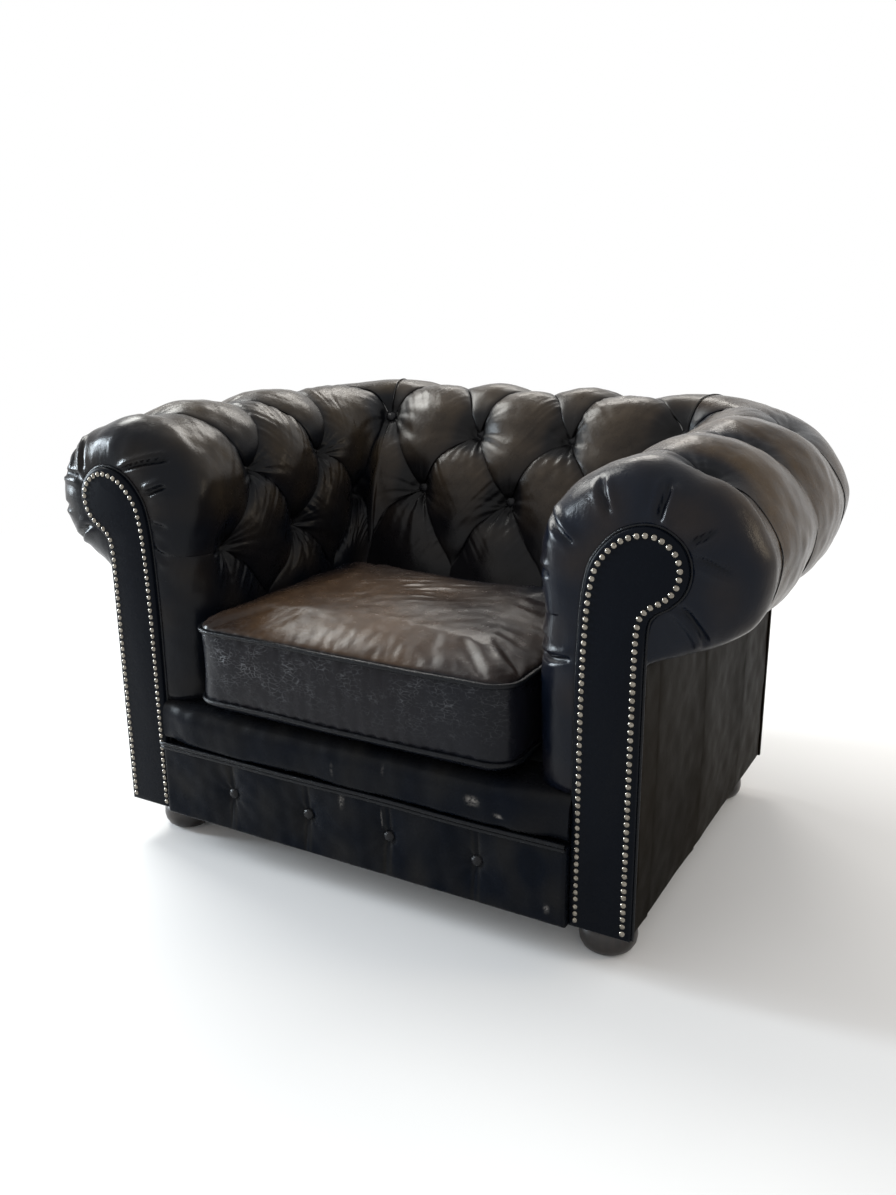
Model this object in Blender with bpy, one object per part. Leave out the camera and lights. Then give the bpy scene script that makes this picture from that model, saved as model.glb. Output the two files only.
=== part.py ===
"""Deep-buttoned club chair: frame, webbing, stuffed pads, facings, cushion, buttons and feet.

Metres, +Z up, standing on z = 0. The chair faces -Y, and X = 0 is its middle plane.
"""

import math

import bmesh
import bpy
from mathutils import Vector

# Overall sizes
seat_half_width = 0.290  # inner face of an arm, from the middle plane
back_plane_y = 0.123  # plane the back's roll is measured from
front_y = -0.410  # front face of the arm facings
arm_height = 0.722  # crest of the arm and back roll
deck_z = 0.260  # top of the seat platform
foot_height = 0.0627
roll_reach = 0.307  # how far the roll's outside stands from the inner face
back_lean = 0.100  # how far the back's inner face comes forward at the seat
corner_radius = 0.020  # plan radius of the inner corner between arm and back
gap = 0.0003  # clearance between touching pieces

# Frame
stuffing = 0.079  # inner face to frame
frame_width = 0.071  # posts and top rails, across the wall
board = 0.032  # thickness of posts and bottom rails
rail_depth = 0.127  # height of the bottom rails
top_stuffing = 0.172  # crest to the top of the arm and back rails
top_rail_height = 0.045
block_height = 0.060
panel = 0.0127  # thickness of an outside panel
web_width = 0.050
web_thickness = 0.003
web_count = 5
cover_thickness = 0.0015

# Buttoning
arm_pitch = 0.200  # column spacing along an arm
corner_lead = 0.084  # from the outermost buttons across the back to the turn of the corner
fold_depth = 0.022
dimple_depth = 0.016  # further depth at a button
dimple_radius = 0.050
row_spacing = 0.150  # along the leather, from one row of buttons to the next
corner_lift = 0.30  # share of a row that the buttons stand higher in the corners,
back_lift = 0.13  # higher across the back
arm_lift = -0.06  # and lower along the arms
button_radius = 0.0115
button_height = 0.010
button_sink = 0.0045

# Facings and nails
facing_thickness = 0.018
front_band = 0.0715  # width of leather in front of an arm, inside its facing
facing_set_in = 0.0012  # facing's outer edge inside the outside panel's face
head_offset = 0.1545  # centre of the facing's head from the inner face
head_drop = 0.1465  # and below the crest
head_radius = 0.0625
edge_rise = 0.003  # from the seam under the roll up to the facing's corner
nail_inset = 0.0105
nail_pitch = 0.0109
nail_radius = 0.005
nail_height = 0.0035
front_round = 0.065  # depth over which an arm's end rounds into its facing
band_set_back = 0.008  # the leather meets the facing this far behind its face

# Seat cushion, lip and border
cushion_clearance = 0.010  # to the arms, each side
cushion_overhang = 0.020  # in front of the facings
cushion_back_gap = 0.013  # to the foot of the back
cushion_under = 0.026  # platform to the lower piping
cushion_side = 0.115  # between the two rows of piping
cushion_crown = 0.040
cushion_corner = 0.060
piping_radius = 0.005
lip_overhang = 0.0175
lip_depth = 0.0975
border_overhang = 0.011
border_button_pitch = 0.1474
border_buttons = 4
border_button_radius = 0.0097
border_fold = 0.008
border_dimple = 0.004
border_dimple_radius = 0.030
border_turn = 0.008  # leather turned under along the bottom

# Feet
foot_radius = 0.0425
foot_inset_x = 0.0575  # foot's centre inside the facing's outer edge
foot_inset_y = 0.075  # and behind the facing's face

# One section of the roll, from the seat platform round to the seam under the roll:
# row, distance from the inner face as a share of the reach, share of the lean, share of the height.
# Rows 2, 1 and 0 are the lines of buttons.
roll_section = (
    (4.00, 0.000, 1.00, 0.000),
    (2.90, 0.000, 0.58, 0.325),
    (2.00, 0.000, 0.26, 0.541),
    (1.60, 0.007, 0.12, 0.649),
    (1.30, 0.026, 0.00, 0.736),
    (0.96, 0.072, -0.16, 0.823),
    (0.72, 0.156, -0.17, 0.909),
    (0.54, 0.277, -0.10, 0.963),
    (0.28, 0.456, 0.00, 1.000),
    (0.04, 0.651, 0.00, 0.985),
    (-0.22, 0.831, 0.00, 0.926),
    (-0.45, 0.945, 0.00, 0.823),
    (-0.70, 1.000, 0.00, 0.703),
    (-1.00, 0.945, 0.00, 0.563),
    (-1.30, 0.798, 0.00, 0.476),
    (-1.55, 0.655, 0.00, 0.437),
)
seam_row = -1.80
seam_share = 0.422  # height of the seam under the roll, as a share

# Edge of a facing's head beside the roll, by the same rows: row, then x and z from the head's
# centre as shares of its radius.
facing_head = (
    (1.95, -1.272, -0.960),
    (1.55, -1.192, -0.256),
    (1.25, -1.048, 0.216),
    (0.90, -0.712, 0.656),
    (0.60, -0.360, 0.896),
    (0.30, 0.088, 1.000),
    (0.00, 0.488, 0.904),
    (-0.25, 0.824, 0.616),
    (-0.50, 0.960, 0.200),
    (-0.72, 0.872, -0.232),
    (-0.95, 0.600, -0.560),
    (-1.15, 0.288, -0.768),
    (-1.38, 0.152, -1.024),
)

steps_per_column = 10
steps_per_row = 5
rows_below = 5  # mesh rows between the lowest buttons and the platform
rows_under = 8  # mesh rows between the outer buttons and the seam
round_steps = 4
mitre_angle = 75  # where arm and back leather meet, in degrees round the corner from the arm
corner_column = 0.5  # columns that an arm spends on its share of the corner
back_corner_column = 0.1
back_columns = 3.0

base_z = foot_height + gap  # lower edge of the leather base
frame_inner = stuffing
frame_outer = stuffing + frame_width
seam_n = frame_outer + panel
seam_z = deck_z + seam_share * (arm_height - deck_z)
top_rail_z = arm_height - top_stuffing
post_front_y = front_y + facing_thickness + gap
corner_x = seat_half_width - corner_radius
corner_y = back_plane_y - corner_radius
outside_x = seat_half_width + seam_n
outside_y = back_plane_y + seam_n
frame_inner_x = seat_half_width + frame_inner
frame_outer_x = seat_half_width + frame_outer
frame_inner_y = back_plane_y + frame_inner
frame_outer_y = back_plane_y + frame_outer
rail_top_z = base_z + rail_depth
web_top_z = rail_top_z + gap + web_thickness
band_edge_y = front_y + band_set_back
head_x = seat_half_width + head_offset
head_z = arm_height - head_drop
facing_inner_x = seat_half_width + front_band
facing_outer_x = outside_x - facing_set_in
foot_x = facing_outer_x - foot_inset_x
front_foot_y = front_y + foot_inset_y
rear_foot_y = outside_y - foot_inset_y
lip_half_width = facing_inner_x - 2 * gap
lip_front_y = front_y - lip_overhang
lip_back_y = lip_front_y + lip_depth
border_front_y = front_y - border_overhang
border_button_z = base_z + 0.49 * (web_top_z - base_z)
cushion_front_y = front_y - cushion_overhang
cushion_back_y = back_plane_y - back_lean - cushion_back_gap
cushion_side_bottom = deck_z + cushion_under
cushion_side_top = cushion_side_bottom + cushion_side
back_pitch = (corner_x - corner_lead) / (back_columns / 2 - 0.5)
first_arm_y = corner_y - arm_pitch * (1.0 - corner_column)
last_column = 1.0 + (first_arm_y - band_edge_y - front_round) / arm_pitch
last_button_column = math.floor(last_column - 0.55) + 0.5


def clear_scene():
    for old in list(bpy.data.objects):
        bpy.data.objects.remove(old, do_unlink=True)


def material(name, color, roughness, metallic=0.0):
    made = bpy.data.materials.new(name)
    made.use_nodes = True
    shader = made.node_tree.nodes["Principled BSDF"]
    shader.inputs["Base Color"].default_value = (*color, 1.0)
    shader.inputs["Roughness"].default_value = roughness
    shader.inputs["Metallic"].default_value = metallic
    made.diffuse_color = (*color, 1.0)
    return made


def finish_mesh(name, bm, finish, smooth=False):
    """Closes the mesh into an object, with its faces turned outwards."""
    bmesh.ops.recalc_face_normals(bm, faces=bm.faces)
    mesh = bpy.data.meshes.new(name)
    bm.to_mesh(mesh)
    bm.free()
    mesh.materials.append(finish)
    if smooth:
        mesh.shade_smooth()
        mesh.set_sharp_from_angle(angle=math.radians(40))
    placed = bpy.data.objects.new(name, mesh)
    bpy.context.scene.collection.objects.link(placed)
    return placed


def box(name, low, high, finish):
    bm = bmesh.new()
    bmesh.ops.create_cube(bm, size=1.0)
    size = [b - a for a, b in zip(low, high)]
    middle = [(a + b) / 2 for a, b in zip(low, high)]
    bmesh.ops.scale(bm, vec=size, verts=bm.verts)
    bmesh.ops.translate(bm, vec=middle, verts=bm.verts)
    return finish_mesh(name, bm, finish)


def prism(name, outline, y_low, y_high, finish):
    """An outline in X and Z, extruded along Y."""
    bm = bmesh.new()
    face = bm.faces.new([bm.verts.new((x, y_low, z)) for x, z in outline])
    made = bmesh.ops.extrude_face_region(bm, geom=[face])["geom"]
    moved = [item for item in made if isinstance(item, bmesh.types.BMVert)]
    bmesh.ops.translate(bm, vec=(0, y_high - y_low, 0), verts=moved)
    return finish_mesh(name, bm, finish)


def boolean(target, other, operation):
    """Applies a Boolean with a helper, and removes the helper."""
    change = target.modifiers.new(operation.title(), "BOOLEAN")
    change.operation = operation
    change.solver = "EXACT"
    change.object = other
    other.hide_render = True
    other.display_type = "WIRE"
    graph = bpy.context.evaluated_depsgraph_get()
    mesh = bpy.data.meshes.new_from_object(target.evaluated_get(graph))
    target.modifiers.clear()
    old = target.data
    target.data = mesh
    bpy.data.meshes.remove(old)
    bpy.data.objects.remove(other, do_unlink=True)


def smooth_between(points, at):
    """Reads a smooth curve through rows of (key, values...), with falling keys."""
    last = len(points) - 2
    here = next((i for i in range(last + 1) if at >= points[i + 1][0]), last)
    a, b = points[here], points[here + 1]
    before = points[here - 1] if here else a
    after = points[here + 2] if here < last else b
    span = b[0] - a[0]
    t = (at - a[0]) / span
    values = []
    for k in range(1, len(a)):
        slope_a = (b[k] - before[k]) / (b[0] - before[0]) * span
        slope_b = (after[k] - a[k]) / (after[0] - a[0]) * span
        values.append(
            (2 * t**3 - 3 * t**2 + 1) * a[k]
            + (t**3 - 2 * t**2 + t) * slope_a
            + (3 * t**2 - 2 * t**3) * b[k]
            + (t**3 - t**2) * slope_b
        )
    return values


def section(row):
    """Distance from the inner face on an arm and on the back, and height, at a row."""
    seam = (seam_row, seam_n / roll_reach, 0.0, seam_share)
    share_n, share_lean, share_z = smooth_between((*roll_section, seam), row)
    n = share_n * roll_reach
    z = deck_z + gap + share_z * (arm_height - deck_z - gap)
    return n, n - share_lean * back_lean, z


def outward(row):
    """Unit normal of the section at a row, as (across, up)."""
    step = 0.02
    n_a, _, z_a = section(min(row + step, roll_section[0][0]))
    n_b, _, z_b = section(max(row - step, seam_row))
    length = math.hypot(n_b - n_a, z_b - z_a)
    return -(z_b - z_a) / length, (n_b - n_a) / length


def mesh_rows():
    """Rows of the pad's mesh, from the platform round to the seam."""
    top, bottom = 2, roll_section[0][0]
    below = [bottom - (bottom - top) * i / rows_below for i in range(rows_below)]
    buttoned = [top - i / steps_per_row for i in range(top * steps_per_row)]
    under = [seam_row * i / rows_under for i in range(rows_under + 1)]
    return below + buttoned + under


def smoothstep(low, high, value):
    t = min(max((value - low) / (high - low), 0.0), 1.0)
    return t * t * (3 - 2 * t)


def is_button(column, row):
    """Buttons lie on whole columns in row 1, and on half columns in rows 0 and 2."""
    shift = 0.0 if row == 1 else 0.5
    return abs(column - shift - round(column - shift)) < 1e-6


def puff(column, row):
    """0 along a fold and 1 in the middle of a puff; column is counted from a corner."""
    inside = min(max(row, 0.0), 2.0)
    p = column + (inside - 1) / 2
    q = column - (inside - 1) / 2
    return math.sqrt(abs(math.sin(math.pi * p) * math.sin(math.pi * q)))


def depth(column, row, pitch, last_button):
    """How far the leather is drawn in at a point."""
    past = smoothstep(0.0, 0.4, column - last_button)
    fullness = puff(min(column, last_button), row)
    fullness += (1 - fullness) * past
    fade = 1 - 0.8 * smoothstep(2.0, 4.0, row) - 0.6 * smoothstep(0.1, 0.7, -row)
    fade -= 0.35 * smoothstep(0.7, -seam_row, -row)
    drawn = fold_depth * (1 - fullness) * fade
    for button_row in (0, 1, 2):
        shift = 0.0 if button_row == 1 else 0.5
        nearest = min(round(column - shift) + shift, last_button)
        across = (column - nearest) * pitch
        along = (row - button_row) * row_spacing
        if is_button(nearest, button_row) and abs(along) < 3 * dimple_radius:
            distance = math.hypot(across, along) / dimple_radius
            drawn += dimple_depth * math.exp(-(distance**2))
    return drawn


def squareness(row):
    """Exponent of the corner's plan: round on the roll, square where it meets the base."""
    return 1 / (0.5 - 0.44 * smoothstep(1.3, -seam_row, -row))


def corner_point(n_arm, n_back, row, angle):
    """Plan point on the right corner; angle 0 is on the arm and 90 degrees on the back."""
    across = corner_radius + n_arm
    deep = corner_radius + max(n_back, 0.0)
    power = squareness(row)
    cosine, sine = max(math.cos(angle), 1e-9), max(math.sin(angle), 1e-9)
    reach = ((cosine / across) ** power + (sine / deep) ** power) ** (-1 / power)
    return corner_x + reach * cosine, corner_y + min(n_back, 0.0) + reach * sine


def drawn_section(row, inward):
    """The section's point, drawn in along its normal."""
    n, n_back, z = section(row)
    across, up = outward(row)
    return n - across * inward, n_back - across * inward, z - up * inward


def lifted(row, column, lift):
    """The section's row that carries a button row, at a column counted from the corner."""
    lift += (corner_lift - lift) * (1 - smoothstep(0.0, 1.0, column))
    return row - lift * smoothstep(-0.2, 0.8, row) * (1 - smoothstep(2.2, 3.6, row))


def arm_place(column, row, inward):
    n, n_back, z = drawn_section(lifted(row, column, arm_lift), inward)
    turn = corner_y + min(n_back, 0.0)
    if column <= corner_column:
        angle = math.radians(mitre_angle) * (1 - column / corner_column)
        x, y = corner_point(n, n_back, row, angle)
        return Vector((x, y, z))
    if column < 1.0:
        share = (column - corner_column) / (1.0 - corner_column)
        y = turn + (first_arm_y - turn) * share
    else:
        y = first_arm_y - arm_pitch * (column - 1.0)
    return Vector((seat_half_width + n, y, z))


def back_place(column, row, inward):
    """Point on the back's leather; columns count from the right corner to the left."""
    if column > back_columns / 2:
        mirrored = back_place(back_columns - column, row, inward)
        return Vector((-mirrored.x, mirrored.y, mirrored.z))
    n, n_back, z = drawn_section(lifted(row, column, back_lift), inward)
    if column <= back_corner_column:
        rest = (90 - mitre_angle) * column / back_corner_column
        angle = math.radians(mitre_angle + rest)
        x, y = corner_point(n, n_back, row, angle)
        return Vector((x, y, z))
    straight = back_pitch * (back_columns / 2 - 0.5)
    if column < 0.5:
        share = (column - back_corner_column) / (0.5 - back_corner_column)
        x = corner_x + (straight - corner_x) * share
    else:
        x = straight - back_pitch * (column - 0.5)
    return Vector((x, back_plane_y + n_back, z))


def facing_edge(row):
    """Edge of the right facing at a row of the roll, as (x, z)."""
    inner = facing_inner_x - head_x
    straight = (roll_section[0][0], roll_section[1][0])
    side_rows = [(r, inner, section(r)[2] - head_z) for r in straight]
    head = [(r, x * head_radius, z * head_radius) for r, x, z in facing_head]
    foot = (seam_row, facing_outer_x - head_x, seam_z + edge_rise - head_z)
    x, z = smooth_between((*side_rows, *head, foot), row)
    return Vector((head_x + x, head_z + z))


def offset_line(points, distance):
    """Moves an open line's points outwards, which is to the left of its travel."""
    moved = []
    for i, point in enumerate(points):
        along = points[min(i + 1, len(points) - 1)] - points[max(i - 1, 0)]
        normal = Vector((-along.y, along.x)).normalized()
        moved.append(point + normal * distance)
    return moved


def mitre_gap():
    """Half the gap between the arm and the back at the right mitre, towards the arm."""
    angle = math.radians(mitre_angle)
    return Vector((math.sin(angle), -math.cos(angle), 0)) * gap / 2


def mitre_place(n, z):
    """Point of the frame's space on the right mitre."""
    y = back_plane_y + n
    return Vector((corner_x + (y - corner_y) / math.tan(math.radians(mitre_angle)), y, z))


def hook(place_at):
    """The four corners of the space for the frame, at one end of a pad."""
    inner, outer = frame_inner - gap, frame_outer + gap
    top = top_rail_z + gap
    corners = ((inner, deck_z + gap), (inner, top), (outer, top), (outer, seam_z))
    return [place_at(n, z) for n, z in corners]


def bridge(bm, outer, inner):
    """Joins two open rows of vertices with triangles, taking the shorter cross edge each time."""
    i = j = 0
    while i < len(outer) - 1 or j < len(inner) - 1:
        step_outer = j == len(inner) - 1
        if i < len(outer) - 1 and not step_outer:
            ahead = (outer[i + 1].co - inner[j].co).length
            step_outer = ahead < (outer[i].co - inner[j + 1].co).length
        if step_outer:
            bm.faces.new((outer[i], outer[i + 1], inner[j]))
            i += 1
        else:
            bm.faces.new((outer[i], inner[j + 1], inner[j]))
            j += 1


def skin_columns(bm, columns, labels, rows):
    """Fills between neighbouring columns, with each cut along the folds where there are any."""
    for left, right, label in zip(columns, columns[1:], labels):
        for j in range(len(rows) - 1):
            corners = (left[j], right[j], right[j + 1], left[j + 1])
            row = (rows[j] + rows[j + 1]) / 2
            p = label + (row - 1) / 2
            q = label - (row - 1) / 2
            if abs(q - round(q)) < abs(p - round(p)):
                bm.faces.new((corners[1], corners[2], corners[3]))
                bm.faces.new((corners[1], corners[3], corners[0]))
            else:
                bm.faces.new((corners[0], corners[1], corners[2]))
                bm.faces.new((corners[0], corners[2], corners[3]))


def close_pad(name, bm, finish):
    bmesh.ops.holes_fill(bm, edges=[e for e in bm.edges if e.is_boundary], sides=0)
    bmesh.ops.triangulate(bm, faces=[f for f in bm.faces if len(f.verts) > 4])
    return finish_mesh(name, bm, finish)


def arm_pad(side, finish):
    """Inside arm: buttoned leather and stuffing over the arm rail, rounded into the facing."""
    rows = mesh_rows()
    count = int(last_column * steps_per_column)
    numbers = [i / steps_per_column for i in range(count + 1)]
    if last_column - numbers[-1] < 0.5 / steps_per_column:
        numbers.pop()
    numbers.append(last_column)
    mitre = mitre_gap()
    bm = bmesh.new()

    def add(point):
        return bm.verts.new((side * point.x, point.y, point.z))

    columns = []
    for number in numbers:
        shift = mitre if number == 0 else Vector((0, 0, 0))
        drawn = [depth(number, row, arm_pitch, last_button_column) for row in rows]
        places = [arm_place(number, row, d) + shift for row, d in zip(rows, drawn)]
        columns.append([add(place) for place in places])
    outline = [Vector((place.x, place.z)) for place in places]
    edge = offset_line([facing_edge(row) for row in rows], 1.5 * gap)
    for k in range(1, round_steps + 1):
        angle = math.pi / 2 * k / round_steps
        y = band_edge_y + front_round * (1 - math.sin(angle))
        share = math.cos(angle) ** 0.85 if k < round_steps else 0.0
        ring = [e + (o - e) * share for o, e in zip(outline, edge)]
        columns.append([add(Vector((p.x, y, p.y))) for p in ring])
    back_y = front_y + facing_thickness
    columns.append([add(Vector((p.x, back_y, p.y))) for p in edge])
    labels = [n + 0.5 / steps_per_column for n in numbers[:-1]] + [last_column] * (round_steps + 1)
    skin_columns(bm, columns, labels, rows)
    front = [
        add(p) for p in hook(lambda n, z: Vector((seat_half_width + n, back_y, z)))
    ]
    turn = [
        add(p) for p in hook(lambda n, z: Vector((seat_half_width + n, back_plane_y + n, z)))
    ]
    rear = [add(p + mitre) for p in hook(mitre_place)]
    bridge(bm, columns[-1], front)
    bridge(bm, columns[0], rear)
    for near, far in ((front, turn), (turn, rear)):
        for k in range(3):
            bm.faces.new((near[k], near[k + 1], far[k + 1], far[k]))
    return close_pad(name_of("inside_arm", side), bm, finish)


def back_pad(finish):
    """Inside back: the same over the back rail, between the two mitres."""
    rows = mesh_rows()
    numbers = [i / steps_per_column for i in range(int(back_columns * steps_per_column) + 1)]
    mitre = -mitre_gap()
    bm = bmesh.new()
    columns = []
    for number in numbers:
        shift = Vector((0, 0, 0))
        if number in (numbers[0], numbers[-1]):
            shift = mitre if number == 0 else Vector((-mitre.x, mitre.y, 0))
        drawn = [depth(number, row, back_pitch, back_columns) for row in rows]
        places = [back_place(number, row, d) + shift for row, d in zip(rows, drawn)]
        columns.append([bm.verts.new(place) for place in places])
    skin_columns(bm, columns, [n + 0.5 / steps_per_column for n in numbers[:-1]], rows)
    ends = []
    for side, column in ((1, columns[0]), (-1, columns[-1])):
        corners = hook(lambda n, z: mitre_place(n, z) + mitre)
        ends.append([bm.verts.new((side * p.x, p.y, p.z)) for p in corners])
        bridge(bm, column, ends[-1])
    for k in range(3):
        bm.faces.new((ends[0][k], ends[0][k + 1], ends[1][k + 1], ends[1][k]))
    return close_pad("inside_back", bm, finish)


def name_of(base, side):
    return f"{base}_{'right' if side > 0 else 'left'}"


def ring_mesh(bm, rings):
    """Skins a stack of closed rings of vertices and caps both ends."""
    for low, high in zip(rings, rings[1:]):
        for i in range(len(low)):
            k = (i + 1) % len(low)
            bm.faces.new((low[i], low[k], high[k], high[i]))
    bm.faces.new(rings[0])
    bm.faces.new(rings[-1])


def turned(bm, profile, segments, place):
    """Turns a profile of (radius, height) about an axis, set by a matrix."""
    rings = []
    for radius, height in profile:
        turns = [2 * math.pi * i / segments for i in range(segments)]
        points = [Vector((radius * math.cos(t), radius * math.sin(t), height)) for t in turns]
        rings.append([bm.verts.new(place @ p) for p in points])
    ring_mesh(bm, rings)


def button_profile(radius, height):
    return (
        (0.90 * radius, 0.0),
        (radius, 0.30 * height),
        (0.88 * radius, 0.70 * height),
        (0.50 * radius, 0.95 * height),
    )


def seat(point, normal):
    """Matrix that stands a turned piece at a point, along a direction."""
    matrix = normal.to_track_quat("Z", "Y").to_matrix().to_4x4()
    matrix.translation = point
    return matrix


def button_seat(place, column, row, pitch, last_button):
    """Where a button's back goes: sunk into the dimple, along the leather's normal."""
    inward = depth(column, row, pitch, last_button)
    e = 0.02
    along = place(column + e, row, 0) - place(column - e, row, 0)
    over = place(column, row - e, 0) - place(column, row + e, 0)
    normal = along.cross(over).normalized()
    point = place(column, row, inward)
    if (place(column, row, 0) - point).dot(normal) < 0:
        normal = -normal
    return seat(point - normal * button_sink, normal)


def mirrored(matrix):
    """The same seat on the other side of the chair."""
    point = Vector((-matrix.translation.x, matrix.translation.y, matrix.translation.z))
    axis = matrix.to_3x3() @ Vector((0, 0, 1))
    return seat(point, Vector((-axis.x, axis.y, axis.z)))


def button_seats():
    """Every tuft button's (name, row, seat), by the pad that carries it."""
    arms, backs = [], []
    for row in (0, 1, 2):
        shift = 0.0 if row == 1 else 0.5
        number = shift or 1.0
        while number <= last_button_column + 0.01:
            at = button_seat(arm_place, number, row, arm_pitch, last_button_column)
            arms.append((f"row{row}_{int(number + 0.5)}", row, at))
            number += 1
        number = shift
        while number <= back_columns + 0.01:
            at = button_seat(back_place, number, row, back_pitch, back_columns)
            backs.append((f"row{row}_{int(number + 0.5)}", row, at))
            number += 1
    return arms, backs


def button_object(name, at, radius, height, finish):
    bm = bmesh.new()
    turned(bm, button_profile(radius, height), 10, at)
    return finish_mesh(name, bm, finish, smooth=True)


def pockets(seats, radius, reach):
    """One helper mesh that holds the pocket of each button."""
    bm = bmesh.new()
    for at in seats:
        profile = ((radius + gap, -gap), (radius + gap, reach))
        turned(bm, profile, 10, at)
    return finish_mesh("pocket_cutter", bm, bpy.data.materials[0])


def fused_buttons(seats, finish):
    bm = bmesh.new()
    for at in seats:
        turned(bm, button_profile(button_radius, button_height), 10, at)
    return finish_mesh("fused_helper", bm, finish)


def buttoned_pads(leather):
    """The three pads, with pockets for the loose buttons and the outer row fused on."""
    arms, backs = button_seats()
    corner = [at for name, row, at in backs if row == 1][0]
    for side in (1, -1):
        pad = arm_pad(side, leather)
        placed = [(n, r, at if side > 0 else mirrored(at)) for n, r, at in arms]
        loose = [at for _, row, at in placed if row > 0]
        loose.append(corner if side > 0 else mirrored(corner))
        boolean(pad, pockets(loose, button_radius, 0.05), "DIFFERENCE")
        outer = [at for _, row, at in placed if row == 0]
        boolean(pad, fused_buttons(outer, leather), "UNION")
        for name, row, at in placed:
            if row > 0:
                label = f"button_{name_of('arm', side)}_{name}"
                button_object(label, at, button_radius, button_height, leather)
    pad = back_pad(leather)
    boolean(pad, pockets([a for _, r, a in backs if r > 0], button_radius, 0.05), "DIFFERENCE")
    boolean(pad, fused_buttons([a for _, r, a in backs if r == 0], leather), "UNION")
    for name, row, at in backs:
        if row > 0:
            button_object(f"button_back_{name}", at, button_radius, button_height, leather)


def nail_line(side):
    """Nail centres round a facing, evenly spaced from its inner foot to its outer foot."""
    edge = [facing_edge(row) for row in mesh_rows()]
    foot = base_z + 1.2 * nail_inset
    line = [Vector((facing_inner_x, foot)), *edge, Vector((facing_outer_x, foot))]
    line = offset_line(line, -nail_inset)
    line[0].y = line[-1].y = foot
    lengths = [(b - a).length for a, b in zip(line, line[1:])]
    count = round(sum(lengths) / nail_pitch)
    centres = []
    for i in range(count + 1):
        left = sum(lengths) * i / count
        k = 0
        while k < len(lengths) - 1 and left > lengths[k]:
            left -= lengths[k]
            k += 1
        point = line[k] + (line[k + 1] - line[k]) * (left / lengths[k])
        centres.append((side * point.x, point.y))
    return centres


def facing(side, leather):
    """Keyhole-shaped facing board in its leather, with the row of nail heads fused to it."""
    edge = [facing_edge(row) for row in mesh_rows()]
    outline = [(side * p.x, p.y) for p in edge]
    outline.append((side * facing_outer_x, base_z))
    outline.append((side * facing_inner_x, base_z))
    made = prism(name_of("facing", side), outline, front_y, front_y + facing_thickness, leather)
    bm = bmesh.new()
    under = 0.0008
    for x, z in nail_line(side):
        at = seat(Vector((x, front_y + under, z)), Vector((0, -1, 0)))
        turned(bm, ((nail_radius, 0.0), (0.5 * nail_radius, nail_height + under)), 6, at)
    boolean(made, finish_mesh("nail_helper", bm, leather), "UNION")


def rounded_loop(half_width, y_front, y_back, radius, steps):
    """Plan outline with round corners, as (x, y) points."""
    points = []
    centres = (
        (half_width - radius, y_front + radius, -90),
        (half_width - radius, y_back - radius, 0),
        (radius - half_width, y_back - radius, 90),
        (radius - half_width, y_front + radius, 180),
    )
    for x, y, start in centres:
        for i in range(steps + 1):
            turn = math.radians(start + 90 * i / steps)
            points.append((x + radius * math.cos(turn), y + radius * math.sin(turn)))
    return points


def seat_cushion(leather):
    """Loose cushion: crowned top, flat underside, piping round both edges."""
    r = piping_radius
    low, high = cushion_side_bottom, cushion_side_top
    bottom = deck_z + gap
    top = high + cushion_crown
    loops = (
        (0.080, bottom),
        (0.030, bottom + 0.12 * (low - bottom)),
        (0.010, bottom + 0.60 * (low - bottom)),
        (r, low - r),
        (0.0, low),
        (r, low + r),
        (0.8 * r, low + 0.3 * (high - low)),
        (0.6 * r, low + 0.5 * (high - low)),
        (0.8 * r, low + 0.7 * (high - low)),
        (r, high - r),
        (0.0, high),
        (r, high + r),
        (0.015, high + 0.26 * cushion_crown),
        (0.045, high + 0.52 * cushion_crown),
        (0.100, high + 0.80 * cushion_crown),
        (0.170, top),
    )
    half = seat_half_width - cushion_clearance
    bm = bmesh.new()
    rings = []
    for inset, z in loops:
        radius = max(cushion_corner - inset, 0.02)
        plan = rounded_loop(
            half - inset, cushion_front_y + inset, cushion_back_y - inset, radius, 5
        )
        rings.append([bm.verts.new((x, y, z)) for x, y in plan])
    ring_mesh(bm, rings)
    finish_mesh("seat_cushion", bm, leather, smooth=True)


def front_lip(leather):
    """The rounded leather roll under the front of the cushion."""
    low, high = web_top_z + gap, deck_z
    depth_y = front_y + facing_thickness - lip_front_y
    outline = [(lip_back_y, low), (lip_back_y, high)]
    for i in range(9):
        turn = math.pi / 2 - math.pi * i / 8
        sine = math.copysign(abs(math.sin(turn)) ** 0.8, turn)
        y = lip_front_y + depth_y * (1 - math.cos(turn) ** 0.8)
        outline.append((y, (low + high) / 2 + (high - low) / 2 * sine))
    bm = bmesh.new()
    face = bm.faces.new([bm.verts.new((-lip_half_width, y, z)) for y, z in outline])
    made = bmesh.ops.extrude_face_region(bm, geom=[face])["geom"]
    moved = [item for item in made if isinstance(item, bmesh.types.BMVert)]
    bmesh.ops.translate(bm, vec=(2 * lip_half_width, 0, 0), verts=moved)
    finish_mesh("front_lip", bm, leather, smooth=True)


def border_folds():
    first = -border_button_pitch * (border_buttons - 1) / 2
    return [first + border_button_pitch * i for i in range(border_buttons)]


def border_depth(x, z):
    """How far the border is drawn in at its pleats and buttons."""
    nearest = min(border_folds(), key=lambda fold: abs(x - fold))
    off = min(abs(x - nearest) / border_button_pitch, 0.5)
    drawn = border_fold * (1 - math.sqrt(math.sin(math.pi * off)))
    distance = math.hypot(x - nearest, z - border_button_z) / border_dimple_radius
    return drawn + border_dimple * math.exp(-(distance**2))


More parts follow.
